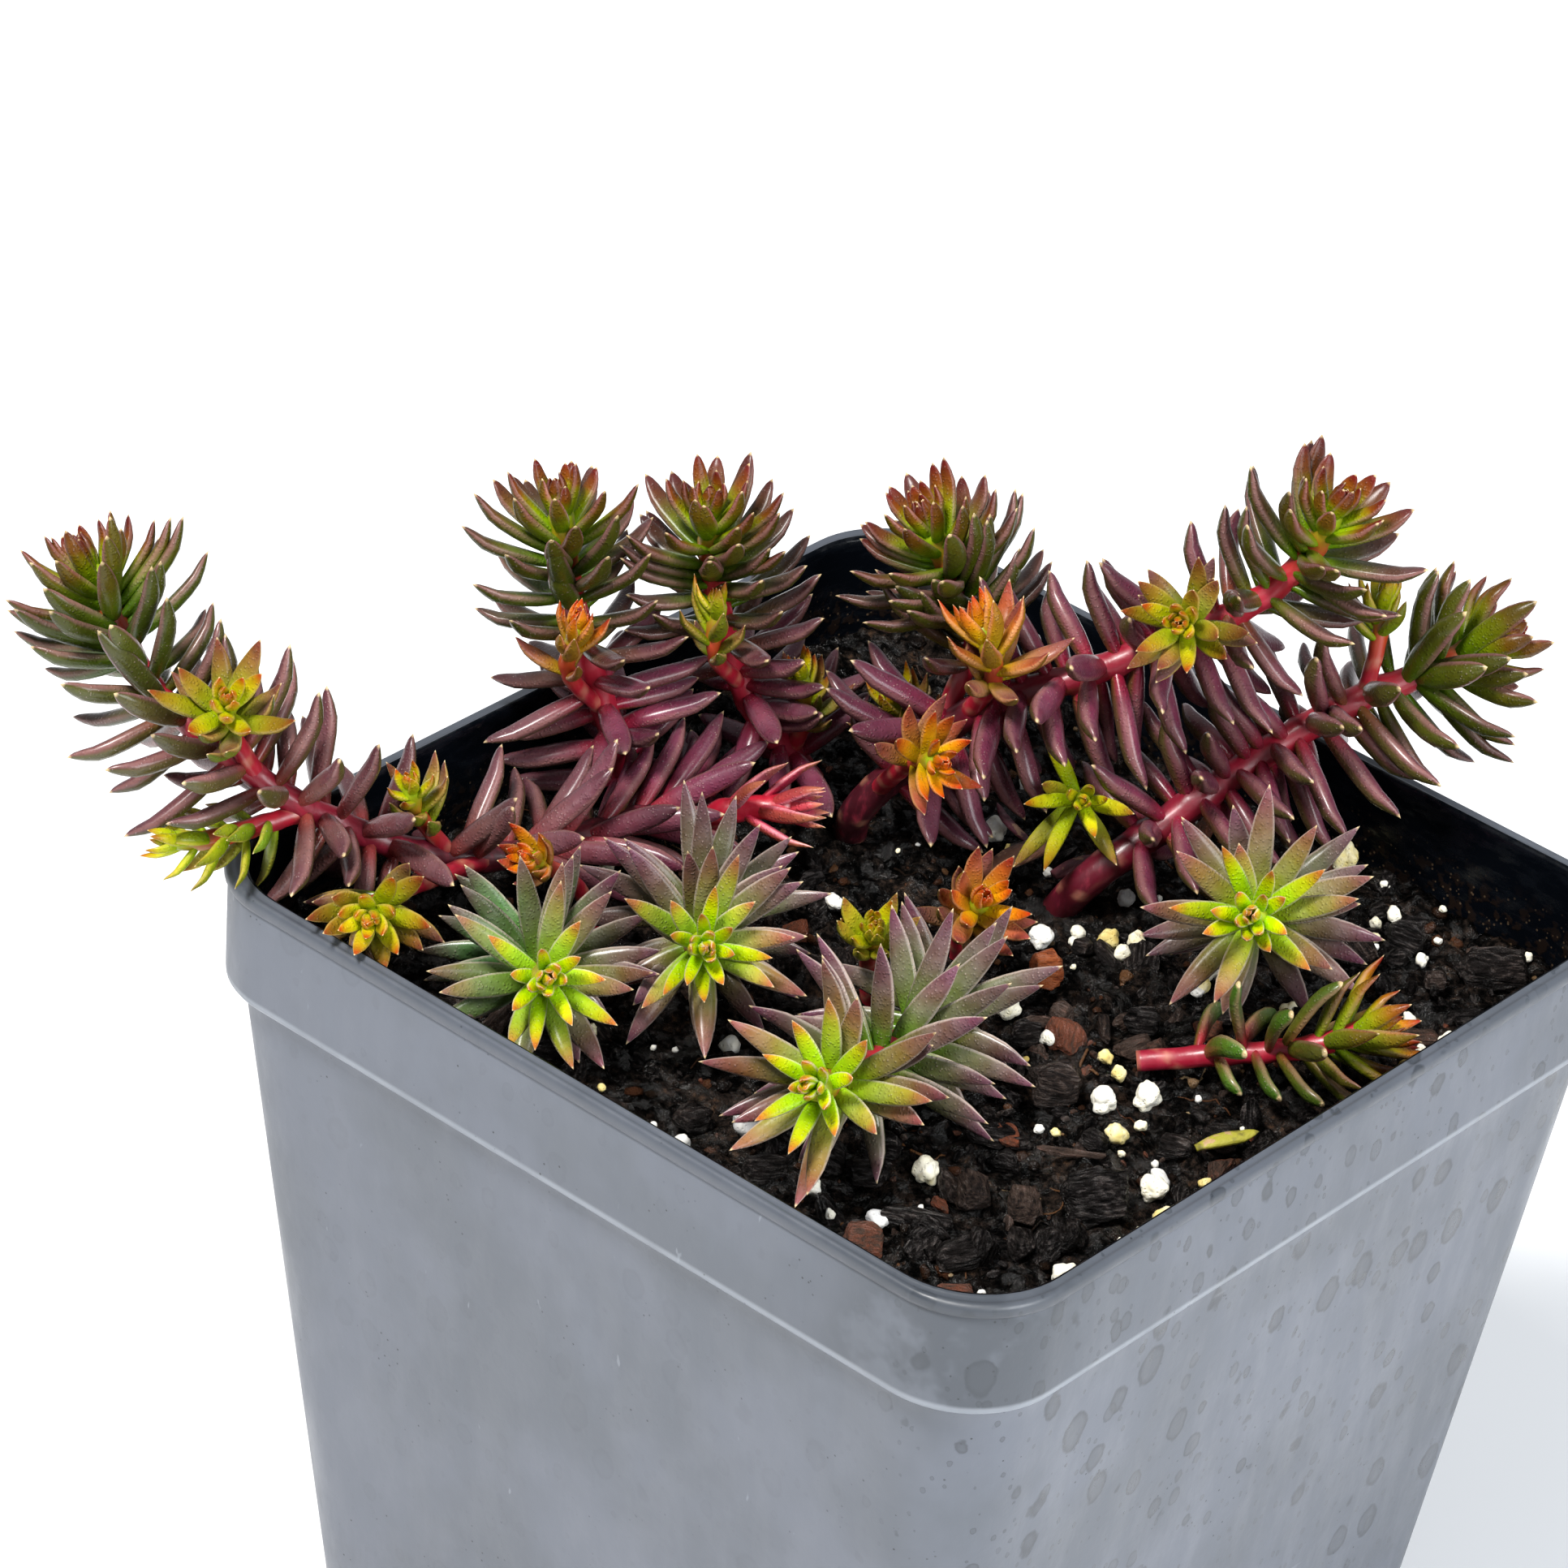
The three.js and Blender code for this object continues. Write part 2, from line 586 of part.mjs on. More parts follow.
function meetsPot(rods) {
  for (const rod of rods) {
    for (const share of [0, 0.5, 1]) {
      const point = rod.from.clone().lerp(rod.to, share);
      const side = outsideLip(point.x, point.y);
      if (side < 0 && point.z < SOIL_LEVEL + SOIL_CLEARANCE + rod.radius) {
        return true;
      }
      const beside = Math.max(side - 0.2, -2 - side, 0);
      const above = Math.max(point.z - POT_HEIGHT, 0);
      if (Math.hypot(beside, above) < rod.radius + LEAF_CLEARANCE) {
        return true;
      }
    }
  }
  return false;
}

function stemRods(shoot) {
  const rods = [];
  for (let i = 1; i < shoot.frames.length; i += 1) {
    rods.push({
      from: shoot.frames[i - 1].point,
      to: shoot.frames[i].point,
      radius: stemRadius(shoot, shoot.frames[i - 1].along),
    });
  }
  return rods;
}

// Stem lines first, then the leaves of one shoot after another, each bent clear of the rest
function growShoots(chips) {
  const shoots = SHOOTS.map((given) => ({ ...KINDS[given.kind], ...given }));
  const named = Object.fromEntries(shoots.map((shoot) => [shoot.name, shoot]));
  for (const shoot of shoots) {
    const points = shoot.points.map((p) => new THREE.Vector3(...p));
    if (shoot.on) {
      points.unshift(frameAt(named[shoot.on].frames, shoot.at).point);
    }
    shoot.frames = stemFrames(points);
    shoot.length = shoot.frames[shoot.frames.length - 1].along;
    shoot.rods = stemRods(shoot);
    shoot.leaves = [];
  }
  for (const shoot of shoots) {
    const others = shoots.filter((other) => other !== shoot).flatMap((other) => other.rods).concat(chips);
    for (let k = shoot.first; ; k += 1) {
      const along = (shoot.pitch * k * k) / (k + shoot.bud);
      if (along > Math.min(shoot.leafy, shoot.length - 1.5)) {
        break;
      }
      const frame = frameAt(shoot.frames, along);
      const grown = smooth((along + 1.2) / shoot.grow);
      const [fullLength, fullWidth] = shoot.leaf;
      const length = fullLength * between(0.35, 1, grown) * between(0.84, 1.08, chance(shoot.seed, k, 2));
      const width = fullWidth * between(0.5, 1, grown);
      const opened = 1 - Math.exp(-along / shoot.open);
      const reflexed = shoot.reflex * smooth((along - shoot.old) / shoot.oldSpan);
      const tilt = between(10, shoot.spread, opened) + reflexed + between(-11, 11, chance(shoot.seed, k, 1));
      const turn = k * TURN_PER_LEAF + between(-15, 15, chance(shoot.seed, k, 0));
      for (const [moreTurn, moreTilt, share] of BENDS) {
        const turned = THREE.MathUtils.degToRad(turn + moreTurn);
        const tilted = THREE.MathUtils.degToRad(tilt + moreTilt);
        const leaf = makeLeaf(shoot, frame, along, turned, tilted, length * share, width);
        const rods = leafRods(leaf);
        if (!meetsPot(rods) && !rodsMeet(rods, others)) {
          shoot.leaves.push(leaf);
          shoot.rods.push(...rods);
          break;
        }
      }
    }
  }
  return shoots;
}

function shootBody(shoot, named) {
  const stem = stemBody(shoot, 0);
  const body = wasm.Manifold.union([stem, ...shoot.leaves.map(leafBody)]);
  if (!shoot.on) {
    return body;
  }
  return largest(body.subtract(stemBody(named[shoot.on], SEAT_GAP)));
}

// A lump with its corners moved a little, and grown by extra on every side
function chipGeometry({ shape, size, turn, seed }, place, extra) {
  const plain = shape.clone();
  plain.deleteAttribute('normal');
  plain.deleteAttribute('uv');
  const chip = mergeVertices(plain, 1e-4);
  let corner = 0;
  moveVertices(chip, (vertex) => {
    corner += 1;
    vertex.multiplyScalar(between(0.84, 1.1, chance(seed, corner, 0)));
    vertex.x *= size[0] / 2 + extra;
    vertex.y *= size[1] / 2 + extra;
    vertex.z *= size[2] / 2 + extra;
    return vertex;
  });
  chip.rotateX(between(-0.15, 0.15, chance(seed, 1, 1)));
  chip.rotateZ(THREE.MathUtils.degToRad(turn));
  chip.translate(...place);
  return chip;
}

function makeChips() {
  const block = new THREE.BoxGeometry(1.7, 1.7, 1.7, 2, 1, 1);
  const pebble = new THREE.IcosahedronGeometry(1.05, 0);
  const bark = BARK.map(([x, y, length, width, height, turn], i) => ({
    name: `bark_chip_${i + 1}`,
    colour: 'bark',
    shape: block,
    size: [length, width, height],
    sunk: BARK_SUNK,
    place: [x, y],
    turn,
    seed: 200 + i,
  }));
  const perlite = PERLITE.map(([x, y, size], i) => ({
    name: `perlite_grain_${i + 1}`,
    colour: 'perlite',
    shape: pebble,
    size: [size, 0.85 * size, 0.8 * size],
    sunk: PERLITE_SUNK,
    place: [x, y],
    turn: 40 * i,
    seed: 300 + i,
  }));
  return [...bark, ...perlite].map((chip) => {
    const [x, y] = chip.place;
    const z = SOIL_LEVEL + relief(x, y) + chip.size[2] * (0.5 - chip.sunk);
    const half = Math.max(0, (chip.size[0] - chip.size[1]) / 2);
    const turn = THREE.MathUtils.degToRad(chip.turn);
    const reach = new THREE.Vector3(Math.cos(turn), Math.sin(turn), 0).multiplyScalar(half + 0.01);
    const centre = new THREE.Vector3(x, y, z);
    const build = (extra) => solid(chipGeometry(chip, [x, y, z], extra));
    return {
      name: chip.name,
      colour: chip.colour,
      body: build(0),
      pocket: build(SEAT_GAP + LARGER_POCKET),
      rod: { from: centre.clone().sub(reach), to: centre.clone().add(reach), radius: chip.size[1] / 2 },
    };
  });
}

const chips = makeChips();
const shoots = growShoots(chips.map((chip) => chip.rod));
const byName = Object.fromEntries(shoots.map((shoot) => [shoot.name, shoot]));

const rooted = shoots.filter((shoot) => !shoot.on);
const hollows = [...rooted.map((shoot) => stemBody(shoot, SEAT_GAP)), ...chips.map((chip) => chip.pocket)];
const soil = largest(makeSoil().subtract(wasm.Manifold.union(hollows)));

const stonecrop = new THREE.Group();
stonecrop.add(meshOf(makePot(), 'pot', 'pot', 0.45));
stonecrop.add(meshOf(soil, 'potting_mix', 'soil', 0.9));
for (const chip of chips) {
  stonecrop.add(meshOf(chip.body, chip.name, chip.colour, 0.85));
}
for (const shoot of shoots) {
  stonecrop.add(meshOf(shootBody(shoot, byName), shoot.name, shoot.colour, 0.5));
}

export default stonecrop;
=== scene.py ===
"""Looks for a reflexed stonecrop in a square nursery pot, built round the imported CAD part.

The stems and leaves follow the same rule as the solids, with every leaf smooth and with the
leaves between them added. Lengths are millimetres until a mesh is made, and +Z is up.
"""

import math

import bmesh
import bpy
import numpy as np
from mathutils import Matrix, Vector, noise


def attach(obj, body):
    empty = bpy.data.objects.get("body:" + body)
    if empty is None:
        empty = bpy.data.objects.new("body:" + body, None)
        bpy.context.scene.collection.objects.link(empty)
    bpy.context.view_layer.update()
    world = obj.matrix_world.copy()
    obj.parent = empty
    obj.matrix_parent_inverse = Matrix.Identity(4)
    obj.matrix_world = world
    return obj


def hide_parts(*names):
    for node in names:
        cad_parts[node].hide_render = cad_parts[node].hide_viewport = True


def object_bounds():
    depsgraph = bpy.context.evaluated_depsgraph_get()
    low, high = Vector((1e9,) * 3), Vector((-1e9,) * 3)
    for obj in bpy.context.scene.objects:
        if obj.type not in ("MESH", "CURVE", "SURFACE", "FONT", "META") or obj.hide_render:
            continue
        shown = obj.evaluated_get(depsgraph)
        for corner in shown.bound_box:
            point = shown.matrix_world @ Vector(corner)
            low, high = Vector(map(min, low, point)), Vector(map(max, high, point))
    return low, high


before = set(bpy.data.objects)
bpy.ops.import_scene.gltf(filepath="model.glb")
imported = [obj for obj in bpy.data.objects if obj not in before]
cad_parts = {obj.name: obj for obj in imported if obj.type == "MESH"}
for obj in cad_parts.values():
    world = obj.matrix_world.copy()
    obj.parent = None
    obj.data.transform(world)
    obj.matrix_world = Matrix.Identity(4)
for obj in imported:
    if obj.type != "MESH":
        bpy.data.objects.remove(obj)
cad_box = [list(corner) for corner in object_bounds()]

MM = 0.001
BOX_LOW, BOX_HIGH = np.array(cad_box) / MM

# Pot, as in the solids
POT_HEIGHT = 90.0
LIP_HALF = 50.0
BAND_HEIGHT = 12.4
UNDER_BAND_HALF = 48.3
BASE_HALF = 39.6
WALL = 1.3
FLOOR = 1.6
CORNER_RATIO = 0.2
DRAIN_RADIUS = 5.0
DRAIN_OFFSET = 22.0
DRAIN_SIDES = 40

# Potting mix
SOIL_LEVEL = 80.5

# Stems and leaves, as in the solids
LINE_STEPS = 6
TURN_PER_LEAF = 2 * 137.508
LEAF_CLEARANCE = 0.22
SOIL_CLEARANCE = 1.0
ADDED_CLEARANCE = 0.02

KINDS = {
    "trailing": dict(
        base=1.5, tip=1.1, pitch=1.2, bud=17, leaf=(10.2, 2.45), spread=80, curl=0.25, sag=0.1,
        old=10, oldSpan=12, reflex=14, grow=6.5, open=3.4, first=5,
    ),
    "rosette": dict(
        base=1.5, tip=1.3, pitch=0.8, bud=14, leaf=(10.5, 2.5), spread=82, curl=0.25, sag=0,
        old=10, oldSpan=12, reflex=12, grow=9, open=2.6, first=5,
    ),
    "side": dict(
        base=0.9, tip=0.8, pitch=0.7, bud=9, leaf=(6.5, 1.9), spread=66, curl=0.25, sag=0,
        old=6, oldSpan=6, reflex=10, grow=5, open=2.2, first=4,
    ),
}


def sprout(name, kind, colour, leafy, seed, points, **own):
    """A shoot from its foot to its tip. Leafy is how far down from the tip its leaves go."""
    given = dict(name=name, kind=kind, colour=colour, leafy=leafy, seed=seed, points=points)
    return {**KINDS[kind], **given, **own}


# Every shoot, in the order of the solids
SHOOTS = [
    sprout("trailing_shoot_left", "trailing", "aubergine", 84, 11, [
        (-35, 11, 76), (-31, 0, 84), (-31, -10, 85.5), (-33, -22, 86.5), (-36.5, -30.5, 88.5),
        (-41, -38, 93), (-44.5, -43, 97), (-50, -46, 101), (-56, -47.5, 104), (-61, -47.5, 108),
        (-65, -47.5, 113),
    ], leaf=(10.6, 2.4), old=26, oldSpan=48, reflex=62, pitch=1.25),
    sprout("upright_shoot_left", "trailing", "aubergine", 31, 21, [
        (-39.5, 3.5, 76), (-38, -1, 84), (-38.5, -4, 92), (-41, -5.5, 100), (-43.5, -5.5, 106.5),
        (-44.8, -5.7, 112.5),
    ]),
    sprout("upright_shoot_middle", "trailing", "aubergine", 31, 31, [
        (-32, 21, 76), (-29.5, 14, 84), (-31.5, 10, 90), (-34, 8, 97), (-35.5, 6.5, 105), (-36, 6, 111.5),
    ]),
    sprout("trailing_shoot_back", "trailing", "aubergine", 55, 41, [
        (-22.5, 15, 76), (-19, 11.5, 84), (-15.5, 13.5, 90), (-11.5, 15.5, 96), (-6.5, 18, 100.5),
        (-1.5, 21.5, 103.5), (2.5, 26, 106.5), (7, 30, 110), (11, 33, 114), (13.5, 35, 118.5),
        (15.2, 35.4, 123.2),
    ], base=1.7, sag=0.2, leaf=(10.4, 2.7), pitch=1.15),
    sprout("upright_shoot_back", "trailing", "aubergine", 16, 42, [
        (-13, 19.5, 104), (-16, 19, 108.5), (-18, 17.5, 113.5),
    ], on="trailing_shoot_back", at=47, base=1.0, tip=1.0, pitch=0.95),
    sprout("trailing_shoot_right", "trailing", "aubergine", 40, 51, [
        (-1, 20, 76), (4, 19, 84), (8, 26, 90), (12, 34.5, 96), (16.5, 42.5, 101), (20, 47.5, 103.3),
        (23, 53, 106),
    ], base=1.8, tip=1.2, leaf=(10.6, 2.7), sag=0.3, pitch=1.2),
    sprout("rosette_front_left", "rosette", "olive", 22, 61, [
        (-27, -23, 76), (-25.5, -26, 82), (-17.5, -35, 86.5), (-10.5, -42, 92.8),
    ], leaf=(10.8, 2.35)),
    sprout("rosette_front_middle", "rosette", "olive", 25, 62, [
        (-19, -9, 76), (-18, -12, 83), (-9.5, -22, 88.3), (-3, -29, 94.2),
    ], leaf=(10.8, 2.35)),
    sprout("rosette_front", "rosette", "olive", 35, 63, [
        (8, -4, 76), (9, -8, 83.5), (13.5, -20, 87.5), (16.3, -30.5, 90), (19.3, -38.5, 94.8),
    ], base=1.6, leaf=(11.4, 2.4), pitch=0.9),
    sprout("rosette_right", "rosette", "olive", 18, 67, [
        (18, 31, 76), (18.5, 28, 83.5), (23.5, 19.5, 89.3), (29, 11.5, 95.7),
    ], leaf=(11.2, 2.45), pitch=0.9),
    sprout(
        "side_rosette_left", "side", "yellow", 8, 12, [(-47.5, -47, 104.5), (-45.5, -49, 108.5)],
        on="trailing_shoot_left", at=25, leaf=(7.6, 2.2), bud=10, spread=72,
    ),
    sprout("side_shoot_over_corner", "side", "green", 10, 13, [
        (-45.5, -48.5, 94), (-47, -50.5, 93.5), (-48.5, -52, 93.5),
    ], on="trailing_shoot_left", at=31, leaf=(6, 1.6)),
    sprout(
        "side_rosette_left_lip", "side", "yellow", 8, 14, [(-33, -39.5, 89.5), (-28.5, -46.5, 92.5)],
        on="trailing_shoot_left", at=51, leaf=(7.2, 2.1), spread=74,
    ),
    sprout(
        "side_bud_left_back", "side", "yellow", 6, 15, [(-37, -31.5, 93), (-37, -33, 96.5)],
        on="trailing_shoot_left", at=47, leaf=(5.8, 1.8), base=0.8, tip=0.7,
    ),
    sprout(
        "side_bud_upright_left", "side", "orange", 6, 22, [(-39.5, -9, 98.5), (-38.5, -9.5, 104)],
        on="upright_shoot_left", at=21, leaf=(6, 1.7), spread=50, base=0.8, tip=0.7,
    ),
    sprout(
        "side_bud_upright_middle", "side", "yellow", 6, 32, [(-32, 3.5, 99), (-32, 3.5, 104.5)],
        on="upright_shoot_middle", at=19, leaf=(6, 1.8), spread=52, base=0.8, tip=0.7,
    ),
    sprout(
        "side_bud_low_middle", "side", "yellow", 6, 33, [(-27.5, 12.5, 90), (-27.5, 11.5, 95)],
        on="upright_shoot_middle", at=29, leaf=(5.6, 1.7), spread=58, base=0.8, tip=0.7,
    ),
    sprout(
        "small_shoot_back", "side", "yellow", 8, 34, [(-21, 24, 77), (-19, 20, 86), (-20, 17, 94)],
        leaf=(5.8, 1.7), spread=58,
    ),
    sprout(
        "side_rosette_back", "side", "orange", 7, 43, [(-6, 14, 104.5), (-7.5, 13.5, 109)],
        on="trailing_shoot_back", at=43, leaf=(7.6, 2.1), bud=10,
    ),
    sprout(
        "side_rosette_right_back", "side", "yellow", 9, 44, [(9, 24, 113), (11, 19.5, 116)],
        on="trailing_shoot_back", at=20, leaf=(7.2, 2), bud=10, spread=70,
    ),
    sprout(
        "side_bud_right", "side", "yellow", 5, 45, [(17, 43.5, 106.5), (16, 45, 111)],
        on="trailing_shoot_right", at=13, leaf=(5.6, 1.7), spread=56, base=0.8, tip=0.7,
    ),
    sprout("small_shoot_centre", "side", "green", 7, 52, [
        (-8, 28, 77), (-4, 25.5, 86), (0, 21, 90.5), (3.8, 17, 94),
    ], leaf=(8.4, 1.7), pitch=1.3, bud=5, spread=80),
    sprout(
        "side_rosette_centre", "side", "orange", 6, 53, [(-10.5, 8.5, 95), (-6, 6.5, 98)],
        on="trailing_shoot_back", at=56, leaf=(6.8, 1.9), spread=70,
    ),
    sprout("stubby_shoot_pink", "side", "pink", 7, 54, [
        (-27, 3, 77), (-27, -0.5, 84), (-24.5, -1.8, 87), (-19.5, 1, 88.8),
    ], leaf=(8, 1.7), base=1.3, tip=1.1, pitch=1.1, bud=7, spread=46),
    sprout("small_shoot_front_left", "side", "orange", 5, 64, [
        (-25, -17, 77), (-26, -21, 86), (-25, -29, 93),
    ], leaf=(5.4, 1.6), spread=46, base=0.8, tip=0.7),
    sprout(
        "small_shoot_front", "side", "green", 6, 65, [(-1, -6, 77), (0.5, -9, 85), (3.5, -12.5, 92)],
        leaf=(6, 1.8), spread=48,
    ),
    sprout(
        "rosette_orange_front", "side", "orange", 8, 66, [(0, 5.5, 77), (3, 1.5, 86), (7.5, -2, 92.5)],
        leaf=(7.4, 2), bud=10, spread=52,
    ),
    sprout("lying_cutting", "side", "cutting", 17, 68, [
        (25, 1.5, 81.9), (31, 7, 83.2), (36.5, 11.3, 84.8), (40.5, 15.3, 87),
    ], leaf=(8.2, 2.05), base=1, tip=1, pitch=1.05, sag=0.9, bud=12, spread=72, grow=3.5),
]

# Turn, tilt and length share that a leaf tries, to grow clear of what is in its way
BENDS = [
    (0, 0, 1), (12, 0, 1), (-12, 0, 1), (0, -12, 1), (0, 12, 1),
    (20, -10, 1), (-20, -10, 1), (20, 10, 1), (-20, 10, 1), (0, -22, 1),
    (0, 0, 0.85), (14, -12, 0.85), (-14, -12, 0.85), (14, 12, 0.85), (-14, 12, 0.85),
    (0, -28, 0.85), (0, 0, 0.7), (20, -20, 0.7), (-20, -20, 0.7), (20, 15, 0.7), (-20, 15, 0.7),
]

# Bark chips: centre x and y, length, width and height, turn, and colour, 0 wet black to 1 reddish brown
BARK = [
    (35.7, -17.7, 8, 7, 5.5, 45, 0.1), (31.8, -22.8, 5.2, 4.1, 3.6, -45, 0.6),
    (22.2, -7, 5.6, 5.6, 5.5, 45, 0.5), (22.7, -16.3, 5.8, 3.8, 2.6, 38, 0.2),
    (27.5, -24.6, 6, 4, 3.6, -45, 0.55), (26.9, -31.9, 8.4, 3, 2, 42, 0.0),
    (33.4, -33.3, 6, 4, 3, 52, 0.3), (26.2, -38.6, 4.7, 4.6, 4, 45, 0.8),
    (44.5, -13.5, 8.5, 2.4, 2.4, 90, 0.85), (9.3, 6.8, 4, 3, 5, 50, 1.0),
    (37.4, 40.4, 8.5, 5.5, 4.5, 38, 0.35),
]
BARK_SUNK = 0.3

# Perlite grains: centre x and y, size, and colour, 0 grey to 1 yellow
PERLITE = [
    (15.8, 44.6, 3.6, 0.75), (28.7, -1.3, 3.6, 0.5), (26.6, -5.1, 3.2, 0.45), (37.9, -11.4, 3.2, 0.5),
    (22.8, -25.5, 3.2, 0.6), (41.6, -28.4, 3, 0.5), (42.8, 26.4, 3.2, 0.5), (-10.6, 22.9, 3.2, 0.35),
    (6.9, -32.4, 4.2, 0.05), (4.6, 11.9, 3.1, 0.3), (10, 0.7, 2.9, 0.55),
]
PERLITE_SUNK = 0.25

# Smaller chips and grains that only the scene has
MORE_BARK = [
    (36.5, -37.4, 4.2, 2.6, 1.8, 45, 0.8), (29.7, -13.2, 8.4, 1.2, 1.0, 45, 0.65),
    (14, -1.3, 3.8, 3.2, 2.6, 45, 0.3), (14.2, 3.7, 2.8, 2.6, 2.6, 0, 0.6),
    (20.3, 8.4, 4.2, 3.6, 3.4, 30, 0.0), (18.4, 4.9, 5, 1.4, 1.6, -45, 0.5),
    (28.3, 38.3, 4.7, 4, 3.6, 20, 0.1), (30.1, 34.7, 2.8, 2.4, 2, 60, 0.2),
    (40.3, 25.2, 5, 2.6, 2.4, 60, 0.7), (41, 32.2, 4.7, 3, 1.6, 45, 0.0),
    (37.8, -1.8, 4.4, 3.4, 3, 30, 0.3), (8.7, 13.2, 2.6, 2.2, 2, 0, 0.4), (38, -24, 5, 3.6, 3, -45, 0.15),
    (35.9, -28, 5, 3, 2.6, -45, 0.3), (35.6, -5.5, 3.8, 3, 2.4, 20, 0.3),
    (29.9, -10.6, 3.4, 2.4, 2, 10, 0.2), (17.3, -25.4, 4.6, 3.6, 3, 20, 0.1),
    (12.5, -36.5, 5, 3.6, 3, 60, 0.15), (19, -29.5, 5, 3.4, 3, 30, 0.1),
    (14.5, -41, 4.6, 3, 2.6, 10, 0.25), (2.5, -35, 4.4, 3.4, 3, 70, 0.3), (-4, -40, 5, 3, 2.4, 15, 0.5),
    (-14, -38, 4, 3.2, 2.6, 40, 0.2), (-33, -42, 4.2, 3, 2.2, 0, 0.4), (-42, -36, 4, 3, 2.2, 80, 0.2),
    (31, 20, 4.4, 3.2, 2.6, 30, 0.2), (35, 34.5, 3, 2.6, 2, 50, 0.5), (20, 38, 4, 3, 2.4, 70, 0.3),
]
MORE_PERLITE = [
    (9.4, 16.4, 2.8, 0.9), (11.1, 18.5, 2.4, 0.6), (7.1, 13.7, 1.1, 0.5), (5.6, 23.6, 2.2, 0.1),
    (-2.3, 21.1, 1.2, 0.3), (22, 0.7, 1.9, 0.9), (24.5, -0.3, 1.9, 0.8), (30.8, -8.3, 2.5, 0.8),
    (31.2, -5.3, 1.5, 0.7), (41.6, -14.4, 2.7, 0.8), (42.2, -18.6, 1.8, 0.5), (41.8, -20.8, 1, 0.5),
    (37.7, -35.4, 1.1, 0.3), (24.6, -34.6, 2.5, 0.1), (40.6, -7.2, 1.6, 0.9), (25, -12.4, 1.3, 0.4),
    (26.5, -11.8, 1.2, 0.9), (16.9, -4.9, 1.2, 1), (42.4, 20.5, 2.6, 1), (37.2, 27.5, 1.5, 0.5),
    (23.8, 34.2, 2.7, 0.6), (24.4, 38.9, 1.6, 0.6), (25.8, 36.7, 1.6, 0.7), (24.9, 41, 2, 0.5),
    (21.4, 43.9, 1.3, 0.5), (31.8, 36.5, 1.7, 0.4), (27.4, 45.7, 1, 0.5), (30.3, 41.2, 1, 0.4),
    (38.1, 45.2, 1.3, 0.5), (19.4, 19.2, 2.6, 0.5), (24.1, 13.5, 1.6, 0.6), (25.8, 12.2, 1, 0.5),
    (4.3, -38.5, 2.3, 0.2), (0.6, -38.6, 1.5, 0.3), (17.1, -34.9, 2.2, 0.4), (32.8, -9.9, 0.9, 0.7),
    (7.4, 26.5, 0.8, 0.4), (10.3, 9.9, 0.8, 0.6),
]

# Share of the leaves between the solids' own that is kept: at a shoot's tip, and on its older stem
ADDED_LEAVES = {"trailing": (1, 0.75), "rosette": (0.5, 0.35), "side": (0.7, 0.3)}
# The head of a trailing shoot is denser still: how far down, and the share kept
DENSE_HEAD = 9
DENSE_SHARE = 0.55

# How a leaf of each kind widens and narrows from base to tip: (share of length, share of width)
OUTLINES = {
    "peg": [
        (0, 0.6), (0.1, 0.72), (0.22, 0.86), (0.36, 0.95), (0.5, 1), (0.66, 1), (0.8, 0.96),
        (0.9, 0.78), (0.95, 0.58), (0.98, 0.36), (0.993, 0.18), (1, 0),
    ],
    "trailing": [
        (0, 0.5), (0.1, 0.62), (0.22, 0.84), (0.36, 0.97), (0.5, 1), (0.64, 0.97), (0.76, 0.86),
        (0.86, 0.66), (0.93, 0.42), (0.965, 0.22), (0.985, 0.09), (1, 0),
    ],
    "rosette": [
        (0, 0.55), (0.1, 0.68), (0.22, 0.86), (0.35, 0.98), (0.47, 1), (0.6, 0.92), (0.72, 0.76),
        (0.82, 0.55), (0.9, 0.34), (0.95, 0.18), (0.98, 0.08), (1, 0),
    ],
    "side": [
        (0, 0.55), (0.1, 0.68), (0.22, 0.86), (0.36, 0.99), (0.48, 1), (0.6, 0.92), (0.72, 0.75),
        (0.82, 0.54), (0.9, 0.33), (0.95, 0.17), (0.98, 0.08), (1, 0),
    ],
}
LEAF_ROUND = 10

# What the points of a leaf or stem, and of a chip or crumb, carry for their materials
LEAF_KEYS = ("along", "side", "edge", "age", "lot")
BARK_KEYS = ("grain_x", "grain_y", "grain_z", "tone")


def chance(seed, item, which):
    wave = math.sin(seed * 12.9898 + item * 78.233 + which * 37.719) * 43758.5453
    return wave - math.floor(wave)


def between(low, high, share):
    return low + (high - low) * share


def smooth(x):
    t = np.clip(x, 0.0, 1.0)
    return t * t * (3 - 2 * t)


def unit(v):
    v = np.asarray(v, float)
    return v / np.linalg.norm(v, axis=-1, keepdims=True)


# ---- The growing rule ----


def relief(x, y):
    """Height of the mix's lumps above its level."""
    wave = 0.4 * np.sin(0.31 * x + 1.3) * np.cos(0.27 * y)
    return wave + 0.3 * np.sin(0.17 * x - 0.22 * y + 2)


def inside_half(z):
    """Half the pot's inner width at a height."""
    foot = POT_HEIGHT - BAND_HEIGHT
    if z > foot:
        return between(UNDER_BAND_HALF, LIP_HALF - 0.5, (z - foot) / BAND_HEIGHT) - WALL
    return between(BASE_HALF, UNDER_BAND_HALF, z / foot) - WALL


def curve_line(points):
    """Points along a Catmull-Rom curve through the given ones."""
    points = [np.array(p, float) for p in points]
    line = []
    for i in range(len(points) - 1):
        p1, p2 = points[i], points[i + 1]
        p0 = points[i - 1] if i > 0 else 2 * p1 - p2
        p3 = points[i + 2] if i + 2 < len(points) else 2 * p2 - p1
        t0, t1 = (p2 - p0) / 2, (p3 - p1) / 2
        for j in range(LINE_STEPS):
            t = j / LINE_STEPS
            square, cube = t * t, t * t * t
            line.append(
                p1 + t0 * t + (3 * (p2 - p1) - 2 * t0 - t1) * square + (2 * (p1 - p2) + t0 + t1) * cube
            )
    line.append(points[-1])
    return line


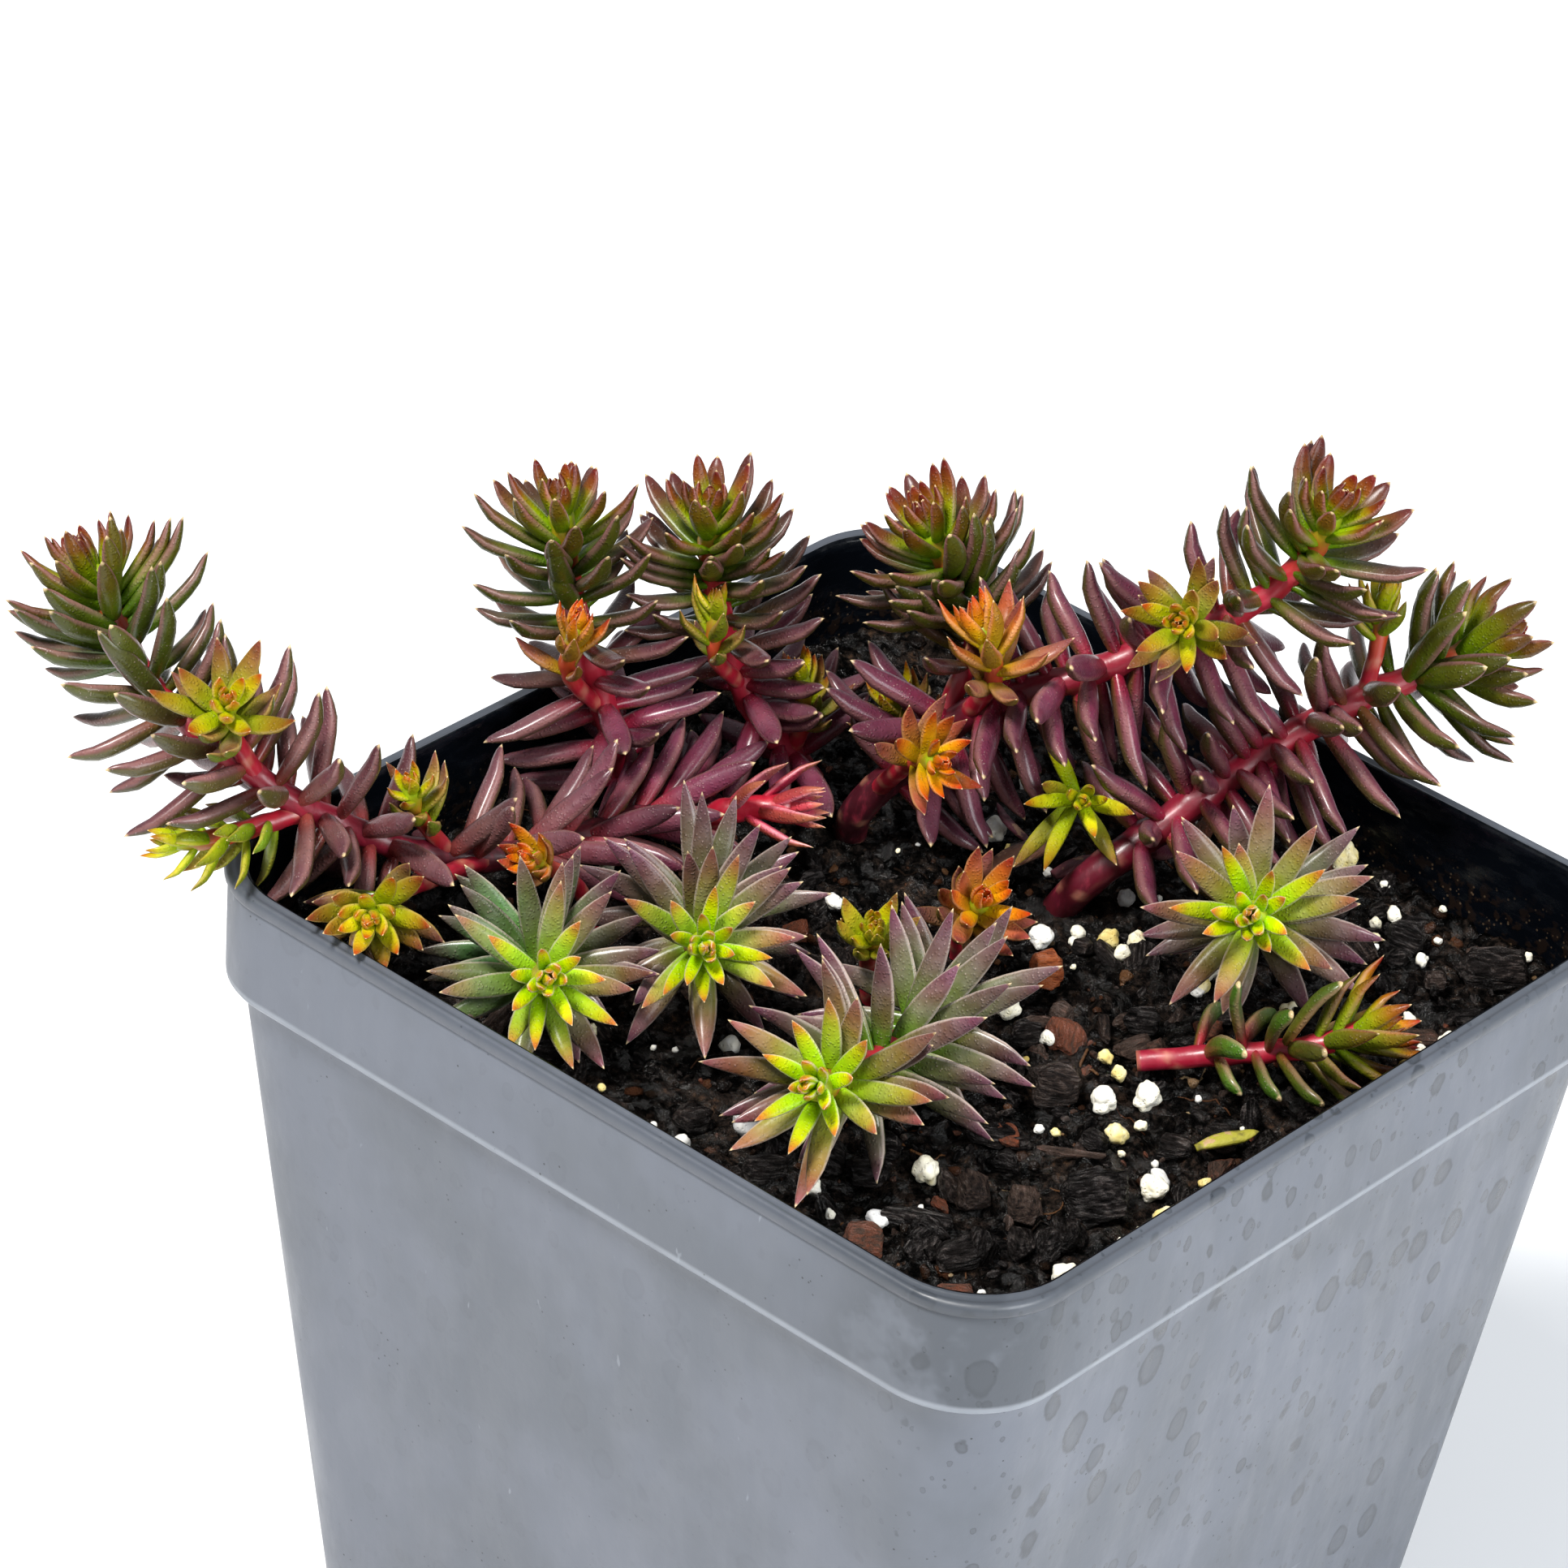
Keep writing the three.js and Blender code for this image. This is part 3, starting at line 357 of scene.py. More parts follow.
class Frames:
    """A stem's centre line from its tip, with a frame carried along it."""

    def __init__(self, points):
        line = curve_line(points)[::-1]
        self.along, self.point, self.tangent, self.normal = [], [], [], []
        along, normal = 0.0, None
        for i, point in enumerate(line):
            if i > 0:
                along += float(np.linalg.norm(point - line[i - 1]))
            tangent = unit(line[max(0, i - 1)] - line[min(len(line) - 1, i + 1)])
            if normal is None:
                up = (0, 0, 1) if abs(tangent[2]) < 0.9 else (1, 0, 0)
                normal = unit(np.cross(tangent, up))
            else:
                normal = unit(normal - tangent * np.dot(normal, tangent))
            self.along.append(along)
            self.point.append(point)
            self.tangent.append(tangent)
            self.normal.append(normal)
        self.length = along

    def at(self, along):
        i = 1
        while i < len(self.along) - 1 and self.along[i] < along:
            i += 1
        step = self.along[i] - self.along[i - 1]
        share = (along - self.along[i - 1]) / step
        inside = min(1.0, max(0.0, share))
        tangent = unit(between(self.tangent[i - 1], self.tangent[i], inside))
        normal = between(self.normal[i - 1], self.normal[i], inside)
        normal = unit(normal - tangent * np.dot(normal, tangent))
        point = between(self.point[i - 1], self.point[i], inside)
        return point - tangent * (share - inside) * step, tangent, normal


def rod_distance(p, q, starts, ends):
    """Distance from the rod p q to each of the others."""
    u, v, w = q - p, ends - starts, p - starts
    uu, vv = float(u @ u), np.einsum("ij,ij->i", v, v)
    uv, uw, vw = v @ u, w @ u, np.einsum("ij,ij->i", v, w)
    across = uu * vv - uv * uv
    safe = np.where(across > 1e-9, across, 1.0)
    s = np.where(across > 1e-9, np.clip((uv * vw - uw * vv) / safe, 0, 1), 0.0)
    t = (uv * s + vw) / vv
    s = np.where(t < 0, np.clip(-uw / uu, 0, 1), np.where(t > 1, np.clip((uv - uw) / uu, 0, 1), s))
    t = np.clip(t, 0, 1)
    return np.linalg.norm(w + s[:, None] * u - t[:, None] * v, axis=1)


def rods_meet(rods, others, clearance):
    starts, ends, radii = others
    for p, q, radius in rods:
        if np.any(rod_distance(p, q, starts, ends) < radius + radii + clearance):
            return True
    return False


def outside_lip(x, y):
    corner = LIP_HALF * CORNER_RATIO
    dx, dy = abs(x) - (LIP_HALF - corner), abs(y) - (LIP_HALF - corner)
    return math.hypot(max(dx, 0), max(dy, 0)) + min(max(dx, dy), 0) - corner


def meets_pot(rods, clearance):
    for p, q, radius in rods:
        for share in (0, 0.5, 1):
            x, y, z = between(p, q, share)
            side = outside_lip(x, y)
            if side < 0 and z < SOIL_LEVEL + SOIL_CLEARANCE + radius:
                return True
            beside = max(side - 0.2, -2 - side, 0)
            if math.hypot(beside, max(z - POT_HEIGHT, 0)) < radius + clearance:
                return True
    return False


def stem_radius(shoot, along):
    return between(shoot["tip"], shoot["base"], np.clip(along / shoot["length"], None, 1))


def bezier(leaf, t):
    return leaf["root"] * (1 - t) ** 2 + leaf["middle"] * 2 * t * (1 - t) + leaf["end"] * t * t


def leaf_rods(leaf):
    at = [bezier(leaf, step / 4) for step in (1, 2, 3, 4)]
    radius = leaf["width"] / 2
    return [(at[0], at[1], radius), (at[1], at[2], radius), (at[2], at[3], radius * 0.6)]


def make_leaf(shoot, place, along, turn, tilt, length, width):
    point, tangent, normal = place
    outward = normal * math.cos(turn) + np.cross(tangent, normal) * math.sin(turn)
    start = tangent * math.cos(tilt) + outward * math.sin(tilt)
    old = smooth((along - shoot["old"]) / 10)
    end = start + tangent * shoot["curl"] * (1 - old)
    end[2] -= shoot["sag"] * old
    end = unit(end)
    half = (length + stem_radius(shoot, along)) / 2
    middle = point + start * half
    return dict(root=point, middle=middle, end=middle + end * half, width=width, inner=tangent, along=along)


def leaf_at(shoot, k):
    """Where leaf k stands, and its length, width, tilt and turn. Whole numbers are the solids' leaves."""
    along = shoot["pitch"] * k * k / (k + shoot["bud"])
    grown = smooth((along + 1.2) / shoot["grow"])
    share = between(0.35, 1, grown)
    if k < shoot["first"]:
        share = between(0.24, share, k / shoot["first"])
    seed = shoot["seed"]
    length = shoot["leaf"][0] * share * between(0.84, 1.08, chance(seed, k, 2))
    width = shoot["leaf"][1] * between(0.5, 1, grown)
    opened = 1 - math.exp(-along / shoot["open"])
    reflexed = shoot["reflex"] * smooth((along - shoot["old"]) / shoot["oldSpan"])
    tilt = between(10, shoot["spread"], opened) + reflexed + between(-11, 11, chance(seed, k, 1))
    turn = k * TURN_PER_LEAF + between(-15, 15, chance(seed, k, 0))
    return along, length, width, tilt, turn


def grow_leaf(shoot, k, others, clearance):
    """Adds leaf k, bent clear of the pot and the other rods, or leaves it out if no bend clears it."""
    along, length, width, tilt, turn = leaf_at(shoot, k)
    place = shoot["frames"].at(along)
    for more_turn, more_tilt, share in BENDS:
        leaf = make_leaf(
            shoot, place, along, math.radians(turn + more_turn), math.radians(tilt + more_tilt),
            length * share, width,
        )
        rods = leaf_rods(leaf)
        inside = np.all(leaf["end"] > BOX_LOW) and np.all(leaf["end"] < BOX_HIGH)
        if inside and not meets_pot(rods, clearance) and not rods_meet(rods, others, clearance):
            leaf["lot"] = chance(shoot["seed"], k, 3)
            shoot["leaves"].append(leaf)
            shoot["rods"] += rods
            return


def chip_place(x, y, height, sunk):
    return np.array([x, y, SOIL_LEVEL + float(relief(x, y)) + height * (0.5 - sunk)])


def chip_rods():
    sizes = [(*row[:6], BARK_SUNK) for row in BARK]
    sizes += [
        (x, y, size, 0.85 * size, 0.8 * size, 40 * i, PERLITE_SUNK)
        for i, (x, y, size, _) in enumerate(PERLITE)
    ]
    rods = []
    for x, y, length, width, height, turn, sunk in sizes:
        centre = chip_place(x, y, height, sunk)
        turn = math.radians(turn)
        reach = np.array([math.cos(turn), math.sin(turn), 0]) * (max(0, (length - width) / 2) + 0.01)
        rods.append((centre - reach, centre + reach, width / 2))
    return rods


def grow_shoots():
    named = {shoot["name"]: shoot for shoot in SHOOTS}
    for shoot in SHOOTS:
        points = list(shoot["points"])
        if "on" in shoot:
            points.insert(0, named[shoot["on"]]["frames"].at(shoot["at"])[0])
        line = shoot["frames"] = Frames(points)
        shoot["length"] = line.length
        shoot["leaves"] = []
        shoot["rods"] = [
            (line.point[i - 1], line.point[i], float(stem_radius(shoot, line.along[i - 1])))
            for i in range(1, len(line.along))
        ]
    chips = chip_rods()

    def others(shoot):
        rods = [rod for other in SHOOTS if other is not shoot for rod in other["rods"]]
        return [np.array(part) for part in zip(*rods, *chips)]

    def leafy(shoot, start, step):
        k = start
        while leaf_at(shoot, k)[0] <= min(shoot["leafy"], shoot["length"] - 1.5):
            yield k
            k += step

    for shoot in SHOOTS:
        rest = others(shoot)
        for k in leafy(shoot, shoot["first"], 1):
            grow_leaf(shoot, k, rest, LEAF_CLEARANCE)
    # The solids have the leaves above. The smallest at the tips and those between are the scene's own.
    for shoot in SHOOTS:
        rest = others(shoot)
        for k in leafy(shoot, 0, 0.25):
            along = leaf_at(shoot, k)[0]
            keep = between(*ADDED_LEAVES[shoot["kind"]], smooth(along / 10))
            if 2 * k != int(2 * k):
                dense = shoot["kind"] == "trailing" and k >= shoot["first"] and along < DENSE_HEAD
                keep = DENSE_SHARE if dense else 0
            elif k < shoot["first"]:
                keep = 1
            elif k == int(k):
                keep = 0
            if chance(shoot["seed"], k, 4) < keep:
                grow_leaf(shoot, k, rest, ADDED_CLEARANCE)


# ---- Meshes ----


def add_mesh(name, vertices, faces, material_index=None, attributes=None, smooth_shade=True):
    """An object at the origin from vertices in millimetres, with float attributes on its points."""
    mesh = bpy.data.meshes.new(name)
    mesh.from_pydata((np.asarray(vertices) * MM).tolist(), [], [list(map(int, f)) for f in faces])
    mesh.validate()
    mesh.update()
    for key, values in (attributes or {}).items():
        layer = mesh.attributes.new(key, "FLOAT", "POINT")
        layer.data.foreach_set("value", np.asarray(values, np.float32))
    if material_index is not None:
        mesh.polygons.foreach_set("material_index", np.asarray(material_index, np.int32))
    mesh.polygons.foreach_set("use_smooth", np.full(len(mesh.polygons), smooth_shade))
    piece = bpy.data.objects.new(name, mesh)
    bpy.context.scene.collection.objects.link(piece)
    return piece


class Builder:
    """Gathers closed shapes into one mesh."""

    def __init__(self, *keys):
        self.keys = keys
        self.vertices, self.faces, self.material, self.count = [], [], [], 0
        self.values = {key: [] for key in keys}

    def add(self, vertices, faces, material=0, **values):
        vertices = np.asarray(vertices, float).reshape(-1, 3)
        self.vertices.append(vertices)
        self.faces += [tuple(i + self.count for i in face) for face in faces]
        self.material += [material] * len(faces)
        for key in self.keys:
            self.values[key].append(np.broadcast_to(values.get(key, 0.0), len(vertices)))
        self.count += len(vertices)

    def finish(self, name, smooth_shade=True):
        values = {key: np.concatenate(self.values[key]) for key in self.keys}
        return add_mesh(
            name, np.concatenate(self.vertices), self.faces, self.material, values, smooth_shade
        )


def tube_faces(rings, around):
    """Faces of a tube whose two ends close on one vertex each: first vertex 0, last the end."""
    faces = [(0, 1 + (j + 1) % around, 1 + j) for j in range(around)]
    for i in range(rings - 1):
        a, b = 1 + i * around, 1 + (i + 1) * around
        for j in range(around):
            k = (j + 1) % around
            faces.append((a + j, a + k, b + k, b + j))
    end, a = 1 + rings * around, 1 + (rings - 1) * around
    return faces + [(a + j, a + (j + 1) % around, end) for j in range(around)]


def inside_out(faces):
    return [tuple(reversed(face)) for face in faces]


def add_leaf(builder, shoot, leaf):
    peg = shoot["colour"] == "cutting" and leaf["along"] > 6
    outline = OUTLINES["peg" if peg else shoot["kind"]]
    t = np.array([share for share, _ in outline[:-1]])
    wide = np.array([width for _, width in outline[:-1]])
    terete = float(smooth((leaf["along"] - 8) / 14)) if shoot["kind"] == "trailing" else 0.0
    angle = np.arange(LEAF_ROUND) * 2 * math.pi / LEAF_ROUND
    root, middle, end = leaf["root"], leaf["middle"], leaf["end"]
    lot = leaf["lot"]
    ahead = unit(np.outer(1 - t, middle - root) + np.outer(t, end - middle))
    inner = leaf["inner"]
    down = -unit(inner[None, :] - ahead * (ahead @ inner)[:, None])
    across = np.cross(ahead, down)
    line = np.outer((1 - t) ** 2, root) + np.outer(2 * t * (1 - t), middle) + np.outer(t * t, end)
    # A little sideways bend of each leaf's own, and a tip that turns up like a beak
    bend = 0.35 * (lot - 0.5) * np.sin(math.pi * t)
    beak = 0.26 * leaf["width"]
    line = line + across * bend[:, None] - down * (beak * smooth((t - 0.7) / 0.3))[:, None]
    end = end - down[-1] * beak
    half = leaf["width"] * 0.5 * wide * between(0.94, 1.04, lot)
    lower = between(0.76, 0.84, terete)
    upper = between(0.4, 0.66, terete)
    sine = np.sin(angle)
    deep = np.where(sine > 0, lower * sine, upper * sine)
    ring = line[:, None, :] + across[:, None, :] * (half[:, None] * np.cos(angle))[:, :, None]
    ring = ring + down[:, None, :] * (half[:, None] * deep)[:, :, None]
    vertices = np.concatenate([root[None, :], ring.reshape(-1, 3), end[None, :]])
    vertices = np.clip(vertices, BOX_LOW, BOX_HIGH)
    along = np.concatenate([[0], np.repeat(t, LEAF_ROUND), [1]])
    side = np.concatenate([[0.5], np.tile(0.5 - 0.5 * sine, len(t)), [0.5]])
    edge = np.concatenate([[0], np.tile(np.abs(np.cos(angle)), len(t)), [1]])
    builder.add(
        vertices, tube_faces(len(t), LEAF_ROUND), 0,
        along=along, side=side, edge=edge, age=leaf["along"], lot=lot,
    )


def add_stem(builder, shoot):
    """A stem with swollen leaf bases, and the pale scars of lost leaves on its bare foot."""
    around, step = 16, 0.45
    frames, length = shoot["frames"], shoot["length"]
    rings = max(6, int(length / step))
    along = np.concatenate([[-0.95, -0.6], np.linspace(0, length, rings)])
    angle = np.arange(around) * 2 * math.pi / around
    radius = np.repeat(stem_radius(shoot, np.maximum(along, 0))[:, None], around, axis=1)
    radius[0] *= 0.45
    radius[1] *= 0.8
    scar = np.zeros_like(radius)
    k = 0
    while leaf_at(shoot, k)[0] < length:
        at, _, _, _, turn = leaf_at(shoot, k)
        bare, thick = at > shoot["leafy"], float(stem_radius(shoot, at))
        round_ = (angle - math.radians(turn) + math.pi) % (2 * math.pi) - math.pi
        far = np.sqrt(((along - at)[:, None] / 0.8) ** 2 + (round_ * thick / 0.9)[None, :] ** 2)
        radius += np.exp(-far * far) * (0.07 if bare else 0.16) * thick
        if bare:
            scar = np.maximum(scar, np.exp(-((far / 0.62) ** 4)))
        k += 1
    rows = []
    for i, at in enumerate(along):
        point, tangent, normal = frames.at(at)
        other = np.cross(tangent, normal)
        rows.append(
            point + radius[i][:, None] * (np.cos(angle)[:, None] * normal + np.sin(angle)[:, None] * other)
        )
    vertices = np.concatenate([[frames.at(-1.1)[0]], *rows, [frames.at(length)[0]]])
    red = 9 if shoot["colour"] in ("pink", "cutting") else 0
    ages = np.concatenate([[0], np.repeat(np.maximum(along, 0), around), [length]]) + red
    if shoot["colour"] == "cutting":
        scar[-1] = 1
    marks = np.concatenate([[0], scar.reshape(-1), scar[-1:, 0]])
    faces = inside_out(tube_faces(len(along), around))
    builder.add(vertices, faces, 1, age=ages, side=marks, lot=0.5)


# ---- Materials ----


class Value:
    """An output of a shader's node. Sums and products of values make further nodes."""

    def __init__(self, shader, socket):
        self.shader, self.socket = shader, socket

    def other(self, output):
        """Another output of the same node."""
        return Value(self.shader, self.socket.node.outputs[output])

    def __add__(self, other):
        return self.shader.math("ADD", self, other)

    def __sub__(self, other):
        return self.shader.math("SUBTRACT", self, other)

    def __mul__(self, other):
        return self.shader.math("MULTIPLY", self, other)

    def __truediv__(self, other):
        return self.shader.math("DIVIDE", self, other)

    def __pow__(self, other):
        return self.shader.math("POWER", self, other)


class Shader:
    """Builds a node material. An input takes a Value, a number, a vector or a colour's six digits."""

    def __init__(self, name):
        self.material = bpy.data.materials.new(name)
        self.material.use_nodes = True
        self.tree = self.material.node_tree

    def put(self, value, socket):
        if isinstance(value, Value):
            self.tree.links.new(value.socket, socket)
        elif isinstance(value, str):
            socket.default_value = (*rgb(value), 1)
        else:
            socket.default_value = value

    def node(self, kind, inputs=(), output=0, **settings):
        made = self.tree.nodes.new(kind)
        for key, value in settings.items():
            setattr(made, key, value)
        for key, value in dict(inputs).items():
            self.put(value, made.inputs[key])
        return Value(self, made.outputs[output])

    def math(self, operation, a, b):
        return self.node("ShaderNodeMath", {0: a, 1: b}, operation=operation)

    def mix(self, share, a, b, blend="MIX"):
        given = {0: share, 6: a, 7: b}
        return self.node("ShaderNodeMix", given, 2, data_type="RGBA", blend_type=blend)

    def ramp(self, value, stops):
        """A colour that changes with a value, through the colours given for some places."""
        made = self.node("ShaderNodeValToRGB", {0: value})
        elements = made.socket.node.color_ramp.elements
        while len(elements) < len(stops):
            elements.new(0.5)
        for element, (place, colour) in zip(elements, stops.items()):
            element.position = place
            element.color = (*rgb(colour), 1)
        return made

    def span(self, value, low, high, start=0.0, end=1.0):
        """Goes smoothly from start, where the value is low, to end, where it is high."""
        given = {0: value, 1: low, 2: high, 3: start, 4: end}
        return self.node("ShaderNodeMapRange", given, interpolation_type="SMOOTHSTEP")

    def attribute(self, name):
        return self.node("ShaderNodeAttribute", output="Fac", attribute_name=name)

    def place(self):
        return self.node("ShaderNodeTexCoord", output="Object")

    def split(self, value, kind="XYZ"):
        """The three parts of a vector or colour."""
        first = self.node("ShaderNodeSeparate" + kind, {0: value})
        return first, first.other(1), first.other(2)

    def stretch(self, vector, scale, turn=(0, 0, 0)):
        given = {"Vector": vector, "Scale": scale, "Rotation": turn}
        return self.node("ShaderNodeMapping", given)

    def noise(self, vector, scale, detail, roughness=0.5):
        given = {"Vector": vector, "Scale": scale, "Detail": detail, "Roughness": roughness}
        return self.node("ShaderNodeTexNoise", given, "Fac")

    def cells(self, vector, scale):
        """Distance to the nearest of many scattered middles."""
        return self.node("ShaderNodeTexVoronoi", {"Vector": vector, "Scale": scale}, "Distance")

    def bump(self, height, distance, strength):
        given = {"Height": height, "Distance": distance, "Strength": strength}
        return self.node("ShaderNodeBump", given)

    def finish(self, **values):
        """Fills the surface's inputs and returns the material."""
        surface = self.tree.nodes["Principled BSDF"]
        for key, value in values.items():
            self.put(value, surface.inputs[key.replace("_", " ")])
        return self.material


def rgb(code):
    """A colour given as six hexadecimal digits of its displayed value."""
    shares = (int(code[i:i + 2], 16) / 255 for i in (0, 2, 4))
    return tuple(v / 12.92 if v <= 0.04045 else ((v + 0.055) / 1.055) ** 2.4 for v in shares)


# Leaf colours from base to tip, for the leaves at the heart of a shoot, those that have opened and
# the oldest. ages is where one turns into the next, in millimetres of stem from the tip.
PALETTES = {
    "aubergine": dict(
        heart="74a404 869404 74400a 5c140c", open="4c7004 404804 38200a 3c1410",
        old="8c162e 682038 5c1e36 4c182a", under="3c4e08", rim="84605c",
        ages=(1.5, 6.5, 9.0, 19.0), light=0.1, bloom_and_sheen=0.05, fresh=0.12, slot="stem_and_purple_leaf",
    ),
    "olive": dict(
        heart="80b800 9cc400 b4b800 c07028", open="74a400 767a06 744e1a 743430",
        old="4c7404 4e4a10 50322a 5a243c", under="306810", rim="c8b8b0",
        ages=(2.4, 6.8, 6.5, 13.0), light=0.12, bloom_and_sheen=0.1, fresh=0.6, slot="rosette_leaf",
    ),
    "yellow": dict(
        heart="94ae04 a6ac06 aa9408 a8480c", open="7a940a 7a800c 785812 66301a",
        old="566a0c 525612 543418 4c1e20", under="487010", rim="a89050",
        ages=(1.2, 4.0, 4.5, 8.0), light=0.12, bloom_and_sheen=0.08, fresh=0, slot="yellow_leaf",
    ),
    "orange": dict(
        heart="c0ac06 cc9206 c86a0a b4320e", open="9c8c08 a06a0e 924418 7a281e",
        old="686010 604a1a 5c3622 542226", under="646810", rim="b88a60",
        ages=(1.2, 4.0, 4.5, 8.0), light=0.12, bloom_and_sheen=0.08, fresh=0, slot="orange_leaf",
    ),
    "green": dict(
        heart="90b406 a8b408 b0a40c 9c560e", open="84a408 98a00a a0900e 805418",
        old="6a800c 607010 5a5c14 54401c", under="507c10", rim="a8a840",
        ages=(1.2, 4.0, 4.5, 9.0), light=0.14, bloom_and_sheen=0.05, fresh=0, slot="green_leaf",
    ),
    "pink": dict(
        heart="c0203c b42c48 b03c50 c88060", open="bc1838 a42442 902e40 b07058",
        old="b01430 902038 782834 a05c4c", under="7c4420", rim="d8949c",
        ages=(0.8, 3.0, 3.5, 8.0), light=0.14, bloom_and_sheen=0.1, fresh=0, slot="pink_leaf",
    ),
    "cutting": dict(
        heart="7aa408 98980a 9c600c 861e10", open="6c800c 6c6418 5c361a 5c181e",
        old="9c2030 62281f 445018 3a5c1c", under="3c5c14", rim="8a7058",
        ages=(1.6, 5.0, 5.5, 9.0), light=0.12, bloom_and_sheen=0.06, fresh=0, slot="rosette_leaf",
    ),
}
HEART_STOPS = (0.1, 0.46, 0.72, 0.92)
LEAF_STOPS = (0.06, 0.34, 0.66, 0.92)
TIP_COLOUR, FRESH_COLOUR, BLOOM_AND_SHEEN_COLOUR, DOT_COLOUR = "cdb488", "347428", "b4a4ac", "c8b0a8"

# Stem colours from tip to foot: the darkest, at the foot, are partly painted shade from the leaves over it
STEM_COLOURS = {0.0: "8ca010", 0.06: "a8401c", 0.13: "a41428", 0.5: "841028", 0.75: "540c1e", 1.0: "340a14"}
FALLEN_COLOURS = {0.0: "6a3044", 0.5: "70443c", 0.8: "7d6a34", 1.0: "9a9430"}
MIX_COLOURS = {0.43: "010101", 0.51: "0b0908", 0.59: "251e1a", 0.72: "503a2a"}
CRUMB_COLOURS = {0.0: "0a0808", 0.45: "1f1610", 0.75: "4a2c1c", 0.95: "6b4a30", 1.0: "a08a68"}
BARK_COLOURS = {0.12: "020202", 0.34: "1b1716", 0.6: "44362f", 0.95: "763a22", 1.15: "98522e"}
PERLITE_COLOURS = {0.0: "b4b4b6", 0.3: "e4e2dc", 0.6: "efe9d2", 0.85: "dccb86", 1.0: "c2a85a"}

# Water spots on the pot, large to small: how many to a metre, size, share left bare, depth of colour
WATER_SPOTS = ((230, 0.42, 0.3, 0.75), (420, 0.4, 0.5, 0.6), (1000, 0.34, 0.62, 0.6))


def leaf_material(name, palette):
    s = Shader(name)
    place = s.place()
    along, side, edge, age, lot = map(s.attribute, LEAF_KEYS)
    # Each leaf turns colour a little sooner or later than its neighbours
    shown = along + (s.noise(place, 420, 2) - 0.5) * 0.22
    aged = age + (lot - 0.5) * 2.4
    heart, opened, old = (
        s.ramp(shown, dict(zip(stops, palette[key].split())))
        for key, stops in (("heart", HEART_STOPS), ("open", LEAF_STOPS), ("old", LEAF_STOPS))
    )
    a, b, c, d = palette["ages"]
    colour = s.mix(s.span(aged, a, b), heart, opened)
    colour = s.mix(s.span(aged, c, d), colour, old)
    # Some leaves stay green, most of them where the plant leans over the front left side
    x, y, _ = s.split(place)
    right = x * 0.74 + y * 0.67
    fresh = s.span(right, -0.028, -0.042) + s.span(s.noise(place, 62, 1), 0.47, 0.62, 0, 0.4)
    fresh = fresh * s.span(shown, 1.0, 0.5, 0.35, 1) * s.span(aged, 1.5, 5.0, 0, palette["fresh"])
    colour = s.mix(fresh, colour, FRESH_COLOUR)
    below = s.span(side, 0.42, 0.1) * s.span(aged, 0, 3, 0.1, 0.55)
    colour = s.mix(below, colour, palette["under"])
    # A pale wax film and a painted sheen on the upper side of grown leaves, a pale rim and a pale tip
    bloom_and_sheen_mask = s.span(side, 0.45, 0.9) * s.span(aged, 2.5, 6.0) * s.span(along, 0.15, 0.5)
    bloom_and_sheen_mask = bloom_and_sheen_mask * s.span(s.noise(place, 500, 3), 0.3, 0.7, 0.4, 1.3)
    colour = s.mix(bloom_and_sheen_mask * palette["bloom_and_sheen"], colour, BLOOM_AND_SHEEN_COLOUR)
    rim = s.span(edge, 0.78, 0.98) * s.span(along, 0.15, 0.5, 0, 0.54)
    colour = s.mix(rim, colour, palette["rim"])
    colour = s.mix(s.span(along, 0.955, 0.985, 0, 0.8), colour, TIP_COLOUR)
    # Leaves differ in brightness, and blotches and fine pale dots cover them
    tone = (lot * 0.5 + 0.72) * (s.noise(place, 900, 3) * 0.5 + 0.75)
    grey = s.node("ShaderNodeCombineColor", {0: tone, 1: tone, 2: tone})
    colour = s.mix(1.0, colour, grey, "MULTIPLY")
    dots = s.cells(place, 2900)
    dot = s.span(dots, 0.26, 0.1) * s.span(s.noise(place, 700, 2), 0.45, 0.62)
    colour = s.mix(dot * s.span(aged, 2, 12, 0.16, 0.34), colour, DOT_COLOUR)
    height = s.span(dots, 0.5, 0.1) + s.noise(place, 1600, 3) * 1.4
    return s.finish(
        Base_Color=colour, Roughness=s.noise(place, 1500, 2) * 0.2 + 0.3,
        Normal=s.bump(height, 0.00008, 0.7), Subsurface_Weight=palette["light"],
        Subsurface_Radius=(1.0, 0.5, 0.2), Subsurface_Scale=0.0012, IOR=1.2,
        Coat_Weight=s.span(aged, 1, 14, 0.22, 0.56), Coat_Roughness=0.24,
    )


def stem_material():
    """Red stems, green at the tip and dark at the foot, darker with age and with painted shade from the
    leaves over it, with pale scars.
    """
    s = Shader("stem")
    place, age, scar = s.place(), s.attribute("age"), s.attribute("side")
    colour = s.ramp(age * (1 / 60), STEM_COLOURS)
    streak = s.noise(s.stretch(place, (1, 1, 0.35)), 900, 4, 0.6)
    # Pale red streaks, partly a painted highlight in the colour of the stem's highlights
    colour = s.mix(s.span(streak, 0.5, 0.75, 0, 0.3), colour, "c43450")
    colour = s.mix(s.span(s.noise(place, 260, 3), 0.52, 0.72, 0, 0.5), colour, "541018")
    colour = s.mix(scar * 0.6, colour, "b07860")
    height = streak + s.noise(place, 2600, 2) * 0.5
    return s.finish(
        Base_Color=colour, Roughness=s.span(streak, 0.3, 0.7, 0.34, 0.5),
        Normal=s.bump(height, 0.00008, 0.5), Subsurface_Weight=0.12,
        Subsurface_Radius=(1.0, 0.3, 0.2), Subsurface_Scale=0.001, Coat_Weight=0.25,
        Coat_Roughness=0.25,
    )


# ---- Plant ----


def keep(piece, materials, slot, *nodes):
    """Gives a piece its materials and says which solids it stands for. The slot is not used."""
    for material in materials:
        piece.data.materials.append(material)
    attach(piece, "root")
    if nodes:
        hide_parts(*nodes)


